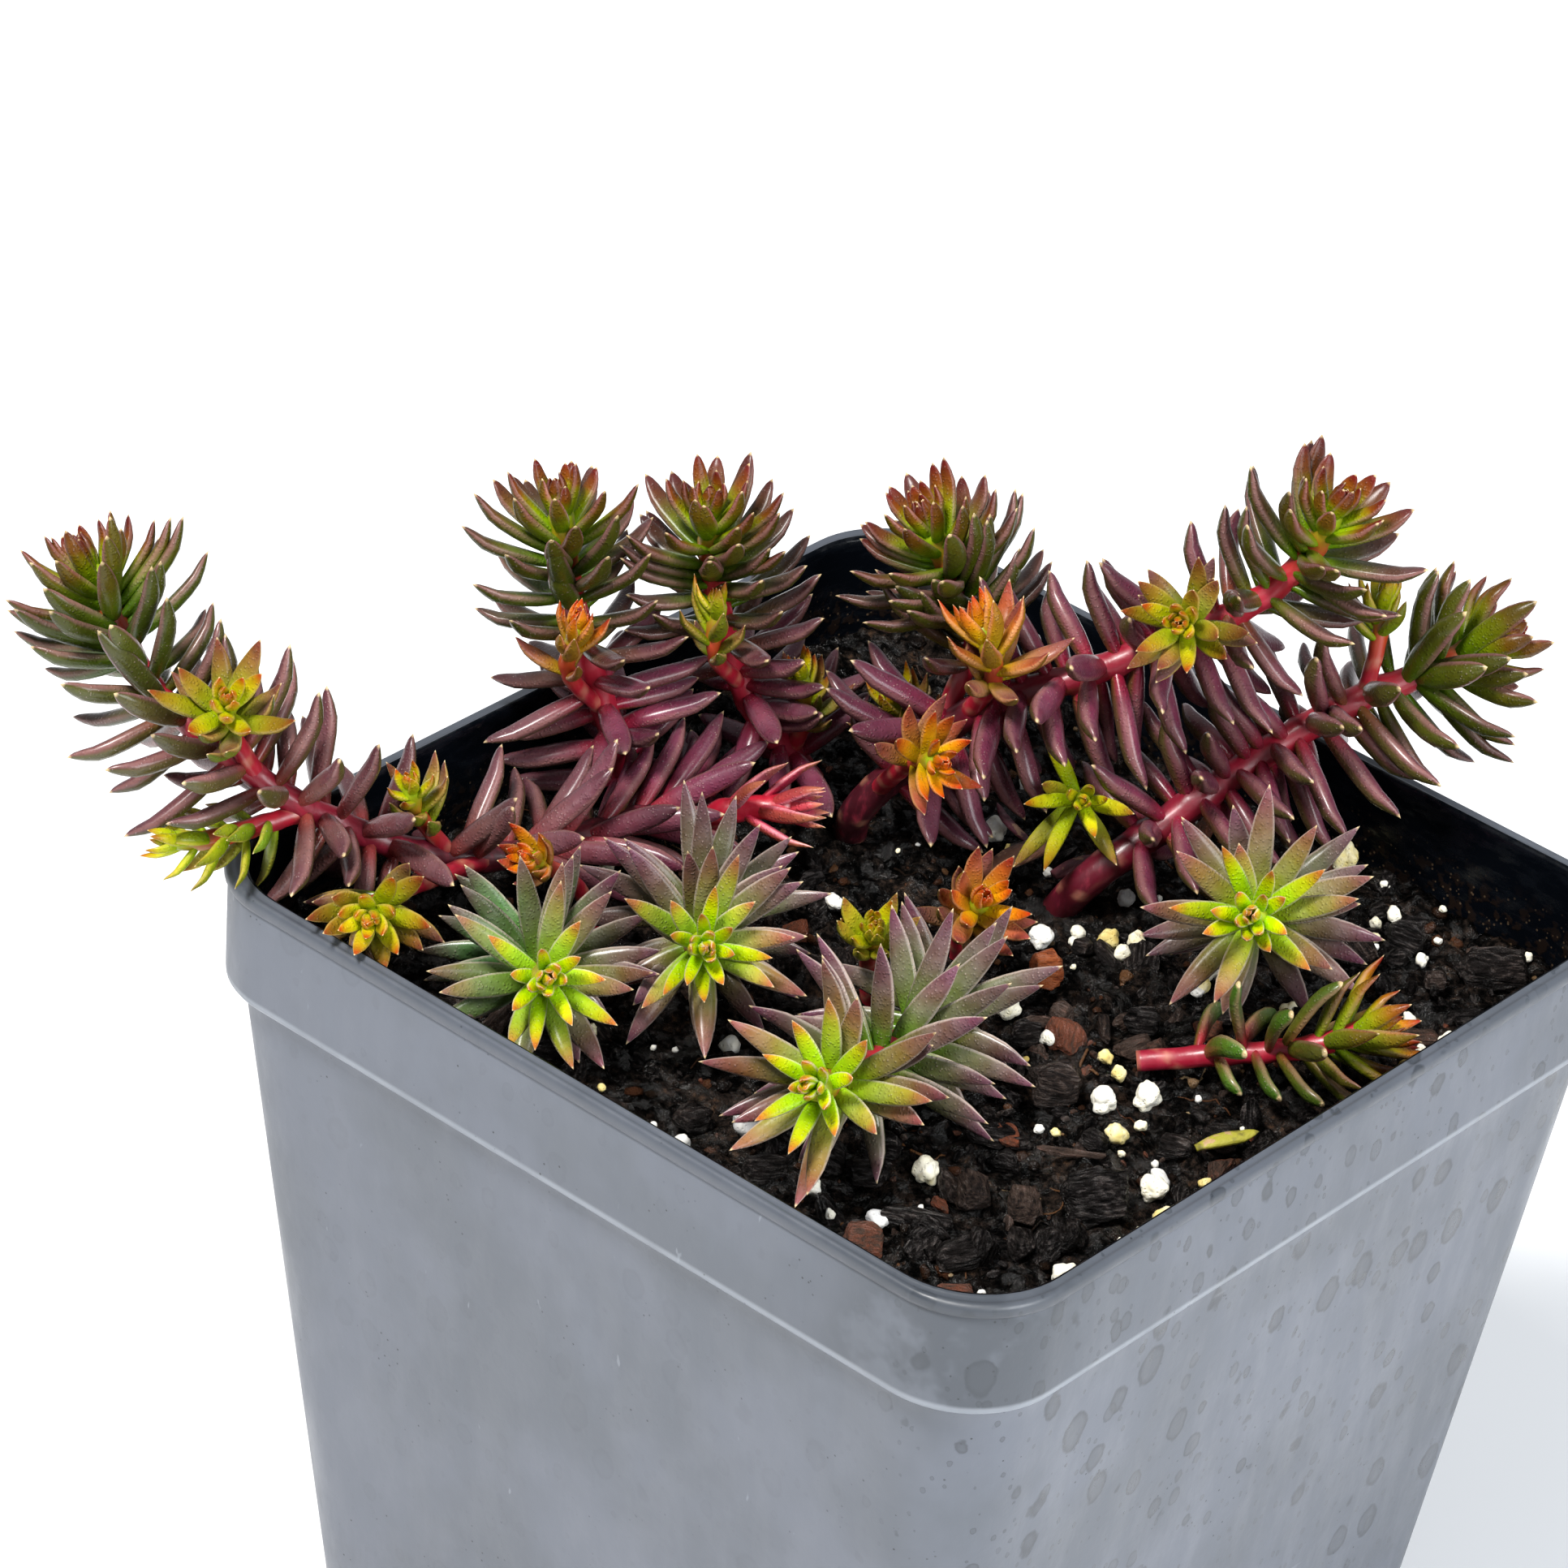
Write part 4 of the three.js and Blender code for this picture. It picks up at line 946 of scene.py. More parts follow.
def make_plant():
    leaf_materials = {key: leaf_material("leaf_" + key, PALETTES[key]) for key in PALETTES}
    stem = stem_material()
    grow_shoots()
    for shoot in SHOOTS:
        builder = Builder(*LEAF_KEYS)
        add_stem(builder, shoot)
        for leaf in shoot["leaves"]:
            add_leaf(builder, shoot, leaf)
        piece = builder.finish("leafy_" + shoot["name"])
        colour = shoot["colour"]
        keep(piece, [leaf_materials[colour], stem], PALETTES[colour]["slot"], shoot["name"])


make_plant()


# ---- Pot ----

CORNER_STEPS = 14
SIDE_SHARES = (0.03, 0.12, 0.3, 0.5, 0.7, 0.88, 0.97)
LIP_RINGS = 6


def square_outline():
    """A rounded square of half width 1, anticlockwise, with points along its sides too."""
    points = []
    for quarter in range(4):
        middle = (quarter + 0.5) * math.pi / 2
        centre = np.sign([math.cos(middle), math.sin(middle)]) * (1 - CORNER_RATIO)
        for step in range(CORNER_STEPS + 1):
            angle = (quarter + step / CORNER_STEPS) * math.pi / 2
            points.append(centre + np.array([math.cos(angle), math.sin(angle)]) * CORNER_RATIO)
        ahead = np.array([-math.sin(angle), math.cos(angle)]) * 2 * (1 - CORNER_RATIO)
        start = points[-1]
        points += [start + ahead * share for share in SIDE_SHARES]
    return np.array(points)


def pot_profile():
    """Half width and height of the outside up to the lip, and of the inside down to the floor."""
    foot = POT_HEIGHT - BAND_HEIGHT
    slope = (UNDER_BAND_HALF - BASE_HALF) / foot

    def near(half, z, steps):
        return [(half + a, z + b) for a, b in steps]

    outside = [
        *near(BASE_HALF, 0, [(-1, 0), (-0.5, 0.02), (-0.15, 0.25), (0, 0.8), (slope * 2, 2)]),
        *near(UNDER_BAND_HALF, foot, [
            (-slope * 3, -3.2), (-slope, -1.0), (0.05, -0.6), (0.3, -0.2), (0.75, 0), (1.1, 0.15),
            (1.3, 0.5), (1.32, 1.2),
        ]),
        *near(LIP_HALF, POT_HEIGHT, [
            (-0.3, -3), (-0.3, -1.9), (-0.34, -1.6), (-0.12, -1.45), (0, -1.1), (0, -0.6), (-0.1, -0.3),
        ]),
    ]
    inside = [
        *near(LIP_HALF, POT_HEIGHT, [
            (-0.28, -0.1), (-0.5, -0.05), (-0.7, -0.2), (-0.95, -0.24), (-1.15, -0.08),
        ]),
        *near(inside_half(POT_HEIGHT), POT_HEIGHT, [(0.45, 0), (0.2, -0.1), (0.05, -0.35), (0, -0.9)]),
        *((inside_half(z), z) for z in (85, foot, FLOOR + 1)),
        (inside_half(FLOOR) - 0.8, FLOOR),
    ]
    return outside, inside


def make_pot():
    outside, inside = pot_profile()
    outline = square_outline()
    around = len(outline)
    rings = [np.column_stack([outline * half, np.full(around, z)]) for half, z in outside + inside]
    faces = tube_faces(len(rings), around)
    pot = add_mesh("nursery_pot", np.concatenate([[[0, 0, 0]], *rings, [[0, 0, FLOOR]]]), faces)
    for material in (pot_material(), pot_inside_material()):
        pot.data.materials.append(material)
    dark = around * (len(outside) + LIP_RINGS)
    pot.data.polygons.foreach_set("material_index", [int(i >= dark) for i in range(len(faces))])
    cutter = Builder()
    turn = np.arange(DRAIN_SIDES) * 2 * math.pi / DRAIN_SIDES
    circle = np.column_stack([DRAIN_RADIUS * np.cos(turn), DRAIN_RADIUS * np.sin(turn)])
    for middle in DRAIN_OFFSET * np.array([(1, 1), (-1, 1), (-1, -1), (1, -1)]):
        low, high = (np.column_stack([circle + middle, np.full(DRAIN_SIDES, z)]) for z in (-2, 2 + FLOOR))
        ends = [[*middle, z] for z in (-2, 2 + FLOOR)]
        cutter.add(np.concatenate([ends[:1], low, high, ends[1:]]), tube_faces(2, DRAIN_SIDES))
    drains = cutter.finish("drains")
    change = pot.modifiers.new("drains", "BOOLEAN")
    change.object, change.operation, change.solver = drains, "DIFFERENCE", "EXACT"
    pot.data = shown_mesh(pot)
    pot.modifiers.clear()
    bpy.data.objects.remove(drains)
    pot.data.set_sharp_from_angle(angle=math.radians(50))
    keep(pot, [], "pot", "pot")


def pot_material():
    """Black moulded plastic painted grey, a painted reflection of the bright surroundings with some haze,
    with dried water spots, most of them on the side towards +X.
    """
    s = Shader("pot_outside")
    place = s.place()
    x, y, z = s.split(place)
    spotted = s.span(x, 0.034, 0.046, 0.12, 1.0)
    smear = s.noise(s.stretch(place, (1, 1, 0.3)), 260, 4, 0.65)
    # The grey stands in for the bright surroundings reflected in the black plastic: a painted reflection,
    # with some haze
    colour = s.mix(s.span(s.noise(place, 45, 4, 0.6), 0.35, 0.65), "50555d", "5a5f69")
    colour = s.mix(s.span(smear, 0.5, 0.75, 0, 0.16), colour, "6d737b")
    rough = s.span(smear, 0.3, 0.7, 0.34, 0.5)
    for scale, large, share, depth in WATER_SPOTS:
        cell = s.cells(s.stretch(place, (1, 1, 0.72)), scale)
        red, green, _ = s.split(cell.other("Color"), "Color")
        far = cell + (s.noise(place, scale * 2.4, 2) - 0.5) * 0.22
        away = far / s.span(red, 0.1, 1.0, 0.12, large)
        spot = s.span(away, 1.0, 0.82) * (s.span(green, share, share + 0.03) * spotted)
        ring = spot * s.span(away, 0.55, 0.9)
        colour = s.mix(spot * (depth * 0.85), colour, "363b42")
        colour = s.mix(ring * (depth * 0.7), colour, "1c2026")
        rough = rough - spot * 0.08
    # Darker patches on the band at the near corner, and a pale line where the band ends, a painted
    # highlight on the rounded step under the band
    darker_corner_patch = s.span(x, 0.02, 0.045) * s.span(y, -0.03, -0.046) * s.span(z, 0.0778, 0.0784)
    darker_corner_patch = darker_corner_patch * s.span(s.noise(place, 90, 4, 0.6), 0.36, 0.5)
    colour = s.mix(darker_corner_patch * 0.7, colour, "30353b")
    # Painted highlight: the pale line stands in for light caught by the rounded step under the band
    band_foot_highlight = s.span(z, 0.0774, 0.0778) * s.span(z, 0.0788, 0.0783)
    band_foot_highlight = band_foot_highlight * s.span(s.noise(place, 140, 3), 0.25, 0.6, 0.6, 1)
    colour = s.mix(band_foot_highlight * 0.75, colour, "888e96")
    lip = s.span(z, POT_HEIGHT * MM - 0.0017, POT_HEIGHT * MM - 0.0012)
    colour = s.mix(lip * 0.45, colour, "2c3036")
    # Short pale scratches, and specks of grit
    scratch = s.noise(s.stretch(place, (900, 60, 300), (0.4, 0.9, 0.3)), 1, 2)
    colour = s.mix(s.span(scratch, 0.74, 0.78, 0, 0.35), colour, "8d939b")
    few = s.span(s.noise(place, 120, 2), 0.52, 0.64)
    colour = s.mix(s.span(s.cells(place, 900), 0.13, 0.07) * few, colour, "23262b")
    normal = s.bump(s.noise(place, 1100, 4, 0.6) * 0.5, 0.00008, 0.5)
    return s.finish(Base_Color=colour, Roughness=rough, Normal=normal, IOR=1.5)


def pot_inside_material():
    """Black plastic, clean at the lip and splashed with mix lower down."""
    s = Shader("pot_inside")
    place = s.place()
    low = s.span(s.split(place)[2], 0.0865, 0.0815)
    smear = s.noise(s.stretch(place, (1, 1, 3)), 300, 4, 0.6)
    splash = s.span(s.noise(place, 800, 3), 0.5, 0.6) * low
    colour = s.mix(s.span(smear, 0.45, 0.75, 0, 0.5), "04060a", "0c1016")
    colour = s.mix(splash * 0.6, colour, "1c130d")
    grit = s.span(s.cells(place, 1300), 0.2, 0.12) * low
    colour = s.mix(grit * 0.35, colour, "6d5a45")
    return s.finish(
        Base_Color=colour, Roughness=s.span(smear, 0.3, 0.7, 0.2, 0.36) + splash * 0.3,
        Normal=s.bump(smear * 0.5 + splash, 0.0001, 0.5), IOR=1.1,
        Coat_Weight=s.span(smear, 0.45, 0.62, 0.0, 0.6), Coat_Roughness=0.2,
    )


# ---- Potting mix, bark and perlite ----

MIX_CELLS = 176
MIX_GAP = 0.08


def mix_height(x, y):
    """Height of the mix's surface, clods and all."""
    spot = Vector((x, y, 0))
    clod = noise.noise(spot / 3.3) + 0.5 * noise.noise(spot / 1.4 + Vector((7, 3, 1)))
    lump = 0.5 - noise.voronoi(spot / 1.9)[0][0]
    grain = noise.noise(spot / 0.6 + Vector((2, 9, 4)))
    return SOIL_LEVEL + float(relief(x, y)) + 0.6 * clod + 1.4 * lump + 0.36 * grain - 0.6


def squared(u, v, corner):
    """How far a square's point moves outwards or inwards to lie in a rounded square instead."""
    reach = np.maximum(np.abs(u), np.abs(v))
    near = np.minimum(np.abs(u), np.abs(v)) / np.where(reach > 0, reach, 1)
    c = 1 - corner
    a, b = 1 + near ** 2, c * (1 + near)
    cut = (b + np.sqrt(np.maximum(b * b - a * (2 * c * c - corner * corner), 0))) / a
    cut = np.where(near > c, cut, 1.0)
    return 1 + (cut - 1) * reach ** 5


def make_mix():
    """The mix's surface, a grid bent into a rounded square, and its sides down to the pot's floor."""
    row = MIX_CELLS + 1
    steps = np.linspace(-1, 1, row)
    u, v = (grid.ravel() for grid in np.meshgrid(steps, steps))
    half = inside_half(SOIL_LEVEL) - MIX_GAP
    share = squared(u, v, CORNER_RATIO) * half
    x, y = u * share, v * share
    top = np.column_stack([x, y, [mix_height(a, b) for a, b in zip(x, y)]])
    corners = [j * row + i for j in range(MIX_CELLS) for i in range(MIX_CELLS)]
    faces = [(a, a + 1, a + row + 1, a + row) for a in corners]
    # The rim, anticlockwise, and two more rings down to the pot's floor
    last = MIX_CELLS
    rim = [i for i in range(last)] + [last + j * row for j in range(last)]
    rim += [last * row + i for i in range(last, 0, -1)] + [j * row for j in range(last, 0, -1)]
    vertices, above = [top], rim
    for z in (POT_HEIGHT - BAND_HEIGHT, FLOOR + 0.3):
        lower = top[rim] * ((inside_half(z) - MIX_GAP) / half)
        lower[:, 2] = z
        start = sum(map(len, vertices))
        below = list(range(start, start + len(rim)))
        vertices.append(lower)
        for i in range(len(rim)):
            k = (i + 1) % len(rim)
            faces.append((above[i], below[i], below[k], above[k]))
        above = below
    faces.append(tuple(reversed(above)))
    mix = add_mesh("potting_mix_surface", np.concatenate(vertices), faces)
    keep(mix, [mix_material("wet_mix")], "potting_mix", "potting_mix")


def taken(shape):
    """Vertices and faces of a bmesh, which is freed."""
    shape.verts.index_update()
    vertices = np.array([tuple(v.co) for v in shape.verts])
    faces = [tuple(v.index for v in face.verts) for face in shape.faces]
    shape.free()
    return vertices, faces


def ball(level):
    """Vertices and faces of a ball of radius 1."""
    shape = bmesh.new()
    bmesh.ops.create_icosphere(shape, subdivisions=level, radius=1)
    return taken(shape)


def hull(points):
    """Vertices and faces of the convex shape round some points."""
    shape = bmesh.new()
    for point in points:
        shape.verts.new(point)
    bmesh.ops.convex_hull(shape, input=shape.verts)
    bmesh.ops.delete(shape, geom=[v for v in shape.verts if not v.link_faces], context="VERTS")
    return taken(shape)


def waves(points, scale, offset):
    """Smooth noise from -1 to 1 at each point, finer where scale is larger."""
    return np.array([noise.noise(Vector(p)) for p in np.asarray(points) * scale + offset])


def turned(vertices, degrees):
    c, s = math.cos(math.radians(degrees)), math.sin(math.radians(degrees))
    return np.asarray(vertices) @ np.array([[c, s, 0], [-s, c, 0], [0, 0, 1]])


def any_turn(random):
    """A rotation matrix drawn at random."""
    q = unit(random.normal(size=4))
    return np.array(Matrix.Rotation(2 * math.acos(q[0]), 3, Vector(unit(q[1:]))))


def shown_mesh(piece):
    """A piece's mesh with its modifiers applied."""
    return bpy.data.meshes.new_from_object(piece.evaluated_get(bpy.context.evaluated_depsgraph_get()))


def remeshed(shapes, voxel):
    """One even skin round overlapping closed shapes: vertices, normals and faces."""
    builder = Builder()
    for vertices, faces in shapes:
        builder.add(np.asarray(vertices) / MM, faces)
    rough = builder.finish("rough")
    change = rough.modifiers.new("skin", "REMESH")
    change.mode, change.voxel_size = "VOXEL", voxel
    skin = shown_mesh(rough)
    bpy.data.objects.remove(rough)
    vertices, normals = np.empty((2, len(skin.vertices), 3), np.float32)
    skin.vertices.foreach_get("co", vertices.ravel())
    skin.vertices.foreach_get("normal", normals.ravel())
    faces = [tuple(face.vertices) for face in skin.polygons]
    bpy.data.meshes.remove(skin)
    return vertices.astype(float), normals.astype(float), faces


def shard(random, length, width, height, corners=12):
    """An angular lump: the convex shape round points spread over a rounded box."""
    at = np.arange(corners) + 0.5
    level = 1 - 2 * at / corners
    angle = at * math.radians(137.508) + random.uniform(-0.4, 0.4, corners)
    round_ = np.sqrt(1 - level * level)
    ways = np.column_stack([np.cos(angle) * round_, np.sin(angle) * round_, level])
    box = np.sign(ways) * np.abs(ways) ** 0.6
    grown = random.uniform(0.72, 1.0, (corners, 1))
    return box * grown * (length / 2, width / 2, height / 2)


def lump(random, level, size):
    """A broken lump: a ball cut off by planes all round, with a rough skin."""
    points, faces = ball(level)
    ways = np.array([unit(way) for way in random.normal(size=(12, 3))])
    depths = random.uniform(0.6, 1.0, 12)
    reach = np.min(depths / np.maximum(points @ ways.T, 0.3), axis=1)
    reach = np.minimum(reach, 1.25) + 0.09 * waves(points, 3.1, random.uniform(0, 50, 3))
    return points * reach[:, None] * np.array(size) / 2, faces


def add_chip(builder, x, y, length, width, height, turn, tone, seed):
    """A bark chip: an angular lump with a second one breaking through it, grained along its length."""
    random = np.random.default_rng(seed)
    main = shard(random, length, width, height, 14)
    step = shard(random, length * 0.75, width * 0.8, height * 0.75, 10)
    step = step + random.uniform(-0.12, 0.12, 3) * (length, width, height)
    low = np.array([length, width, height]) / 2
    shapes = [hull(main), hull(np.clip(step, -low, low))]
    vertices, normals, faces = remeshed(shapes, 0.14 if length < 4 else 0.18)
    offset = random.uniform(0, 50, 3)
    grain = waves(vertices * (0.35, 1.6, 2.2), 1, offset) + 0.5 * waves(vertices * (1, 3.4, 4), 1, offset)
    knobs = waves(vertices, 0.6, offset + 9)
    amount = 0.022 * min(width, height)
    vertices = vertices + normals * (amount * grain + 1.8 * amount * knobs)[:, None]
    tilt = np.array(Matrix.Rotation(random.uniform(-0.2, 0.2), 3, "X"))
    tilt = tilt @ np.array(Matrix.Rotation(random.uniform(-0.15, 0.15), 3, "Y"))
    placed = turned(vertices @ tilt.T, turn)
    centre = chip_place(x, y, height, BARK_SUNK)
    builder.add(
        placed + centre, faces, grain_x=vertices[:, 0] + offset[0], grain_y=vertices[:, 1],
        grain_z=vertices[:, 2], tone=tone,
    )


def add_grain(builder, x, y, size, tone, seed, level):
    """A knobbly perlite grain, puffed up round a few middles."""
    random = np.random.default_rng(seed)
    vertices, faces = ball(level)
    offset = random.uniform(0, 50, 3)
    puff = np.array([noise.voronoi(Vector(p))[0][0] for p in vertices * 1.25 + offset])
    radius = 0.84 + 0.3 * waves(vertices, 1.0, offset) + 0.34 * (0.5 - puff)
    radius += 0.04 * waves(vertices, 4, offset) + 0.012 * waves(vertices, 12, offset)
    half = size / 2
    placed = vertices * radius[:, None] * (half, 0.9 * half, 0.84 * half) @ any_turn(random)
    builder.add(placed + chip_place(x, y, 0.8 * size, PERLITE_SUNK), faces, tone=tone)


def make_chips(bark):
    perlite = perlite_material()
    for i, row in enumerate(BARK):
        builder = Builder(*BARK_KEYS)
        add_chip(builder, *row, 400 + i)
        keep(builder.finish(f"wet_bark_{i + 1}"), [bark], "bark", f"bark_chip_{i + 1}")
    for i, row in enumerate(PERLITE):
        builder = Builder("tone")
        add_grain(builder, *row, 500 + i, 4)
        keep(builder.finish(f"pale_grain_{i + 1}"), [perlite], "perlite", f"perlite_grain_{i + 1}")
    builder = Builder(*BARK_KEYS)
    for i, row in enumerate(MORE_BARK):
        add_chip(builder, *row, 600 + i)
    keep(builder.finish("small_bark_chips"), [bark], "bark")
    builder = Builder("tone")
    for i, row in enumerate(MORE_PERLITE):
        add_grain(builder, *row, 700 + i, 3)
    random = np.random.default_rng(83)
    for i in range(SPREAD_PERLITE):
        size, tone = 0.6 + 1.9 * random.random() ** 1.4, random.uniform(0.2, 0.9)
        add_grain(builder, *spot_in_pot(random), size, tone, 900 + i, 3 if size > 1.2 else 2)
    keep(builder.finish("small_perlite_grains"), [perlite], "perlite")


CRUMBS = 1500
FRAGMENTS = 900
FIBRES = 60
SPREAD_PERLITE = 60
CRUMB_SHAPES = 16
FIBRE_ROUND = 5


def spot_in_pot(random):
    """A place on the mix, clear of the wall."""
    while True:
        x, y = random.uniform(-46, 46, 2)
        if outside_lip(x * LIP_HALF / 46.2, y * LIP_HALF / 46.2) < 0:
            return float(x), float(y)


def make_fragments(bark):
    """Small angular bits of bark all over the mix."""
    random = np.random.default_rng(47)
    builder = Builder(*BARK_KEYS)
    for i in range(FRAGMENTS):
        x, y = spot_in_pot(random)
        size = 0.8 + 3.8 * random.random() ** 4
        shape = (size, size * random.uniform(0.5, 0.9), size * 0.6)
        corners, faces = lump(random, 3 if size > 1.6 else 2, shape)
        placed = corners @ any_turn(random)
        builder.add(
            placed + (x, y, mix_height(x, y) + 0.12 * size), faces, grain_x=corners[:, 0] + 3 * (i % 17),
            grain_y=corners[:, 1], grain_z=corners[:, 2], tone=0.9 * random.random() ** 3,
        )
    keep(builder.finish("bark_fragments", smooth_shade=False), [bark], "bark")


def add_fibre(builder, random, number):
    """A thin bent fibre lying on the mix."""
    around = np.arange(FIBRE_ROUND) * 2 * math.pi / FIBRE_ROUND
    x, y = spot_in_pot(random)
    heading, bend = random.uniform(0, 2 * math.pi), random.uniform(-0.35, 0.35)
    thick, steps = random.uniform(0.06, 0.16), int(random.uniform(6, 14))
    line = []
    for step in range(steps):
        line.append((x, y, mix_height(x, y) + 0.15 + 0.25 * math.sin(step + number)))
        x, y = x + 0.6 * math.cos(heading), y + 0.6 * math.sin(heading)
        heading += bend + random.uniform(-0.2, 0.2)
    line = np.array([p for p in line if outside_lip(p[0] * 1.07, p[1] * 1.07) < 0])
    if len(line) < 4:
        return
    ahead = unit(np.gradient(line, axis=0))
    side = unit(np.cross(ahead, (0, 0, 1)))
    across, up = side[:, None, :], np.cross(side, ahead)[:, None, :]
    ring = np.cos(around)[None, :, None] * across + np.sin(around)[None, :, None] * up
    ring = line[:, None, :] + thick * ring
    first, last = line[:1] - ahead[:1] * thick, line[-1:] + ahead[-1:] * thick
    points = np.concatenate([first, ring.reshape(-1, 3), last])
    faces = inside_out(tube_faces(len(line), FIBRE_ROUND))
    builder.add(points, faces, grain_x=number, tone=random.uniform(0.3, 1))


def make_crumbs():
    """Loose crumbs and fibres on the mix."""
    random = np.random.default_rng(31)
    vertices, faces = ball(1)
    shapes = []
    for i in range(CRUMB_SHAPES):
        radius = 1 + 0.5 * waves(vertices, 1.3, 3.1 * i) + 0.25 * waves(vertices, 3.1, 1.7 * i)
        shapes.append(vertices * radius[:, None])
    builder = Builder(*BARK_KEYS)
    for i in range(CRUMBS):
        x, y = spot_in_pot(random)
        size = 0.25 + 0.75 * random.random() ** 3
        scale = size * random.uniform(0.55, 1.1, 3)
        placed = shapes[i % CRUMB_SHAPES] * scale @ any_turn(random)
        builder.add(
            placed + (x, y, mix_height(x, y) + 0.25 * size), faces, grain_x=placed[:, 0] + 3 * i,
            grain_y=placed[:, 1], grain_z=placed[:, 2], tone=random.random() ** 2.5,
        )
    for i in range(FIBRES):
        add_fibre(builder, random, i)
    keep(builder.finish("mix_crumbs"), [mix_material("crumbs", "tone")], "potting_mix")


# Old leaves lying on the mix: foot, middle and tip, width, and how dry, 0 purple to 1 yellow
FALLEN_LEAVES = [
    ((-5.2, 14, 82.2), (-4.0, 18.8, 84.2), (-3.4, 24.4, 82.6), 2.6, 0.55),
    ((-5.2, 22.5, 82), (-8, 21.5, 83.2), (-10.6, 22.4, 84.2), 1.3, 0.1),
    ((-0.8, 20, 81.9), (0.2, 23.4, 82.8), (2.2, 26.4, 82.2), 2.6, 0.2),
    ((37.6, -5.2, 81.9), (39.2, -2.8, 82.8), (40.6, 0.2, 82.3), 1.7, 1.0),
]


def fallen_leaf_material():
    s = Shader("fallen_leaf")
    place = s.place()
    colour = s.ramp(s.attribute("lot"), FALLEN_COLOURS)
    colour = s.mix(s.span(s.noise(place, 420, 4, 0.6), 0.56, 0.6, 0, 0.8), colour, "b08a6c")
    colour = s.mix(s.span(s.noise(place, 900, 3), 0.5, 0.7, 0, 0.6), colour, "2c1a1a")
    wrinkle = s.noise(s.stretch(place, (1, 0.4, 1)), 1500, 4, 0.6)
    rough = s.span(wrinkle, 0.3, 0.7, 0.4, 0.7)
    return s.finish(Base_Color=colour, Roughness=rough, Normal=s.bump(wrinkle, 0.0003, 0.8))


def make_fallen_leaves():
    builder = Builder(*LEAF_KEYS)
    for foot, middle, tip, width, dry in FALLEN_LEAVES:
        foot, middle, tip = (np.array(p, float) for p in (foot, middle, tip))
        leaf = dict(
            root=foot, middle=middle, end=tip, width=width, inner=np.array([0.1, 0.2, 1.0]), along=0.0,
            lot=dry,
        )
        add_leaf(builder, {"kind": "trailing", "colour": "aubergine"}, leaf)
    keep(builder.finish("fallen_leaves"), [fallen_leaf_material()], "stem_and_purple_leaf")


def mix_material(name, tone=None):
    """Wet black and brown mix with glints. tone names the attribute that picks a crumb's colour."""
    s = Shader(name)
    place = s.place()
    grain = s.noise(place, 1500, 4, 0.65)
    colour = s.ramp(s.noise(place, 240, 4, 0.6) * 0.5 + grain * 0.5, MIX_COLOURS)
    if tone:
        colour = s.mix(0.65, colour, s.ramp(s.attribute(tone), CRUMB_COLOURS))
    normal = s.bump(grain + s.noise(place, 5200, 3) * 0.45, 0.0005, 1.0)
    return s.finish(
        Base_Color=colour, Roughness=s.span(grain, 0.35, 0.65, 0.4, 0.8), Normal=normal, IOR=1.06,
        Coat_Weight=s.span(s.noise(place, 620, 4, 0.6), 0.46, 0.62), Coat_Roughness=0.14,
        Coat_Normal=normal,
    )


def bark_material():
    """Wet bark, grained along each chip, from black to reddish brown."""
    s = Shader("grained_bark")
    *grain, tone = map(s.attribute, BARK_KEYS)
    local = s.node("ShaderNodeCombineXYZ", enumerate(grain))
    line = s.noise(s.stretch(local, (0.3, 1.6, 2.4)), 1.6, 5, 0.65)
    patch = s.noise(local, 0.5, 3, 0.55)
    colour = s.ramp(tone ** 2.2 * 0.75 + patch * 0.5 + (line - 0.5) * 0.9, BARK_COLOURS)
    # Pale grey dust on the chips, partly a painted sheen
    dust_and_sheen = s.span(line, 0.5, 0.72) * s.span(patch, 0.4, 0.6)
    colour = s.mix(dust_and_sheen * 0.24, colour, "807a78")
    normal = s.bump(line + s.noise(local, 5, 4) * 0.4, 0.0006, 1.0)
    return s.finish(
        Base_Color=colour, Roughness=s.span(line, 0.3, 0.7, 0.3, 0.6), Normal=normal, IOR=1.1,
        Coat_Weight=s.span(line, 0.45, 0.6, 0.06, 1) * s.span(patch, 0.34, 0.56, 0.3, 1),
        Coat_Roughness=0.2, Coat_Normal=normal,
    )


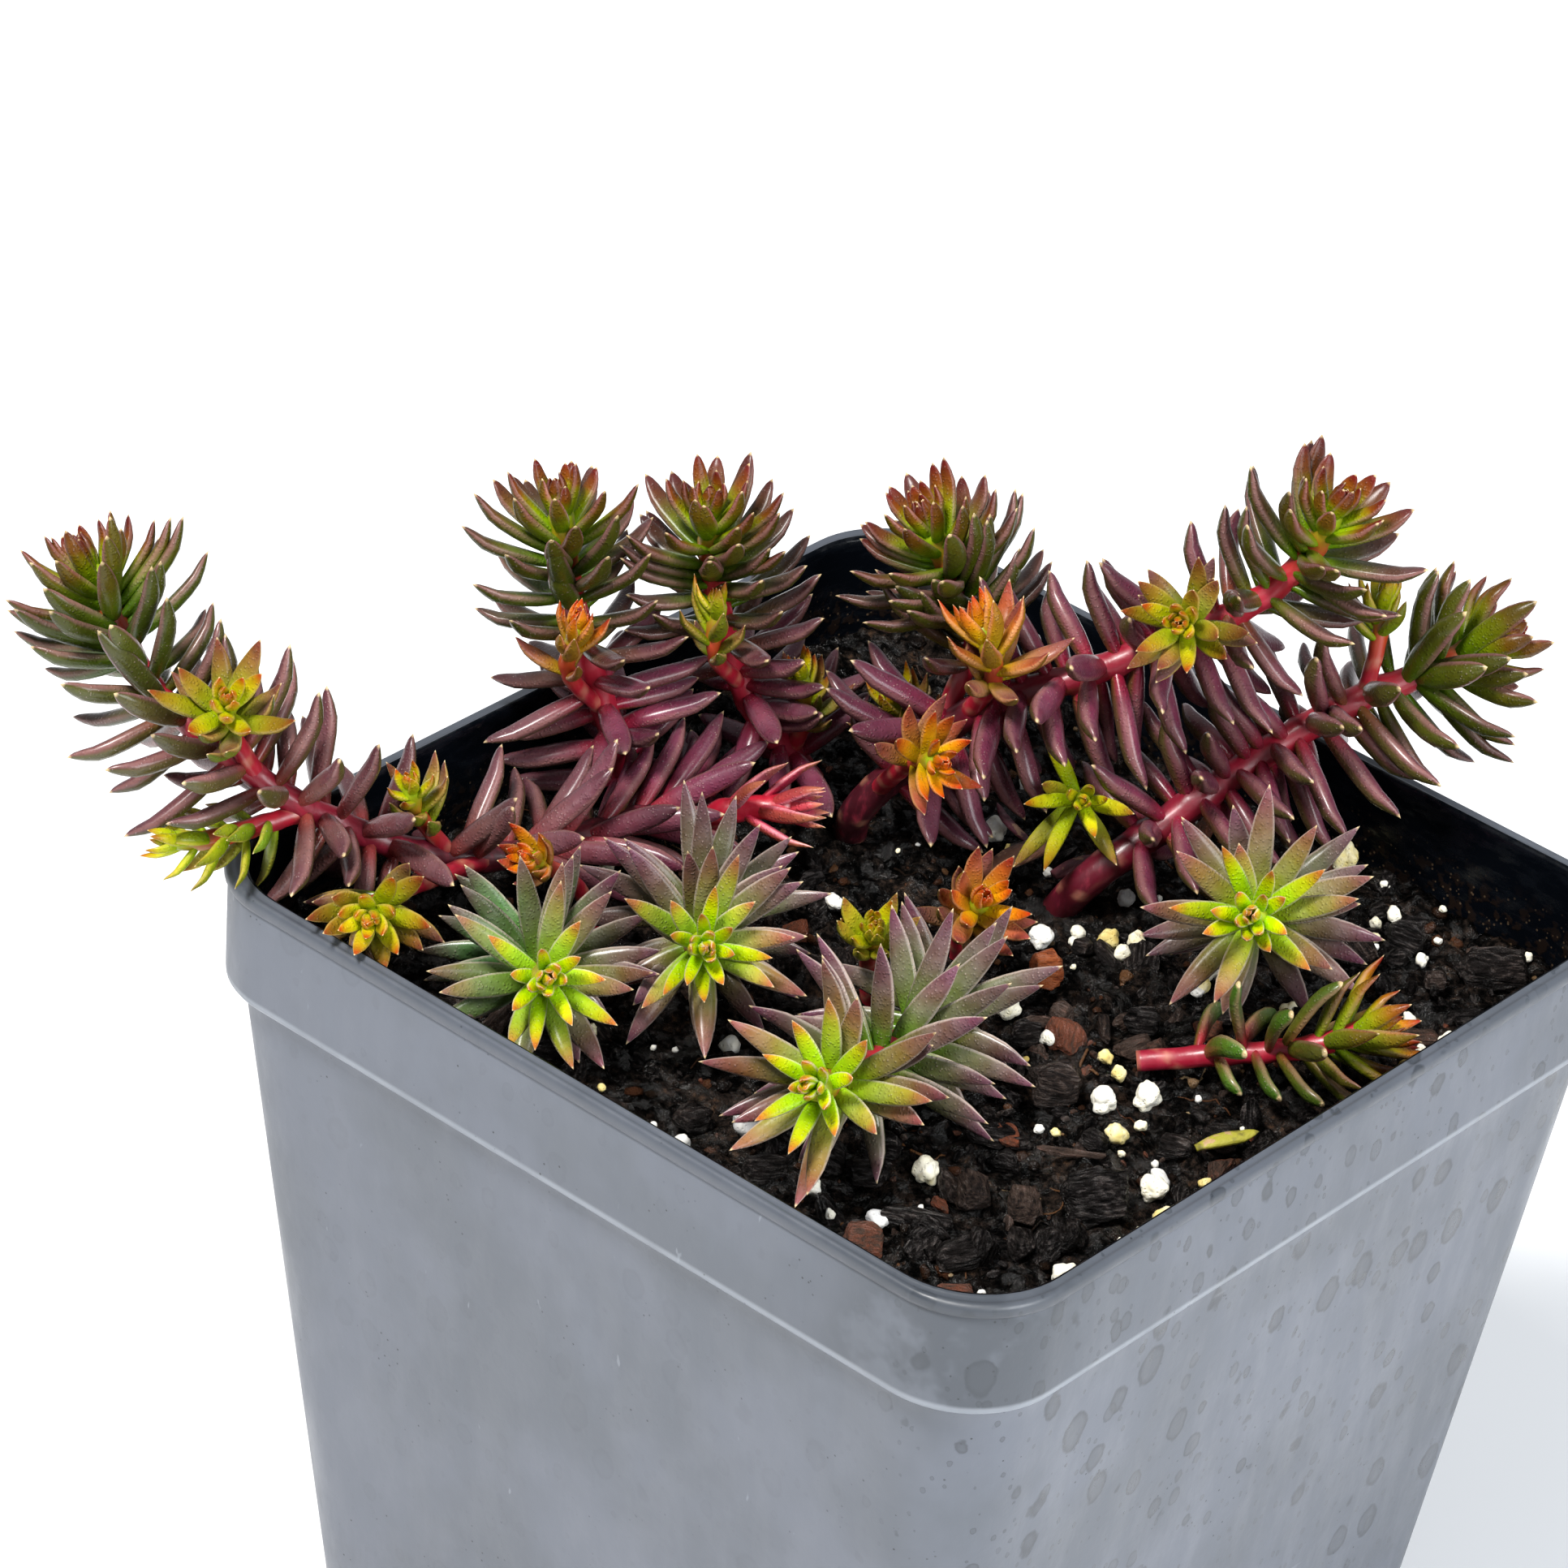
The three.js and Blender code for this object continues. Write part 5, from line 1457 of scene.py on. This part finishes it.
def perlite_material():
    """White to yellow grains with small pits darkened by painted shade."""
    s = Shader("perlite")
    place = s.place()
    stain = s.noise(place, 520, 3, 0.6)
    colour = s.ramp(s.attribute("tone") + (stain - 0.5) * 0.7, PERLITE_COLOURS)
    pits = s.cells(place, 2600)
    # Painted shade in the pits
    colour = s.mix(s.span(pits, 0.14, 0.05, 0, 0.4), colour, "7a6f58")
    height = s.span(pits, 0.1, 0.4) + s.noise(place, 4200, 3) * 0.5
    return s.finish(
        Base_Color=colour, Roughness=s.span(stain, 0.3, 0.7, 0.6, 0.85),
        Normal=s.bump(height, 0.0001, 0.7), Subsurface_Weight=0.15,
        Subsurface_Radius=(1.0, 0.9, 0.7), Subsurface_Scale=0.0006,
    )


make_pot()
make_mix()
grained_bark = bark_material()
make_chips(grained_bark)
make_fragments(grained_bark)
make_crumbs()
make_fallen_leaves()

# ---- Camera, light and floor ----


def make_camera():
    right = Vector((0.74037, 0.66799, 0.07516))
    up = Vector((-0.40581, 0.35501, 0.84219))
    back = Vector((0.53589, -0.65403, 0.53391))
    data = bpy.data.cameras.new("camera")
    data.sensor_width = 36
    data.lens = 8701.4 / 1932 * 36
    data.clip_start, data.clip_end = 0.01, 20
    camera = bpy.data.objects.new("camera", data)
    bpy.context.scene.collection.objects.link(camera)
    turn = Matrix((right, up, back)).transposed().to_4x4()
    camera.matrix_world = Matrix.Translation(Vector((0.34278, -0.44157, 0.45244))) @ turn
    bpy.context.scene.camera = camera


def area_light(name, place, target, size, power, colour=(1, 1, 1)):
    data = bpy.data.lights.new(name, "AREA")
    data.shape, data.size, data.energy, data.color = "SQUARE", size, power, colour
    light = bpy.data.objects.new(name, data)
    bpy.context.scene.collection.objects.link(light)
    light.location = place
    light.rotation_euler = (Vector(target) - Vector(place)).to_track_quat("-Z", "Y").to_euler()


def make_studio():
    scene = bpy.context.scene
    scene.view_settings.view_transform = "Standard"
    world = bpy.data.worlds.new("studio")
    world.use_nodes = True
    sky = world.node_tree.nodes["Background"]
    sky.inputs["Color"].default_value = (0.93, 0.96, 1.0, 1)
    sky.inputs["Strength"].default_value = 0.42
    scene.world = world
    area_light("key", (0.0, -0.5, 1.0), (0, 0, 0.09), 0.22, 17.0, (1.0, 0.98, 0.95))
    area_light("fill", (0.9, -0.1, 0.6), (0, 0, 0.06), 0.6, 11.0, (0.95, 0.98, 1.0))
    vertices = [(-3000, -3000, 0), (3000, -3000, 0), (3000, 3000, 0), (-3000, 3000, 0)]
    floor = add_mesh("floor", vertices, [(0, 1, 2, 3)])
    floor.data.materials.append(Shader("floor").finish(Base_Color=(0.93, 0.94, 0.96, 1), Roughness=0.6))


make_camera()
make_studio()
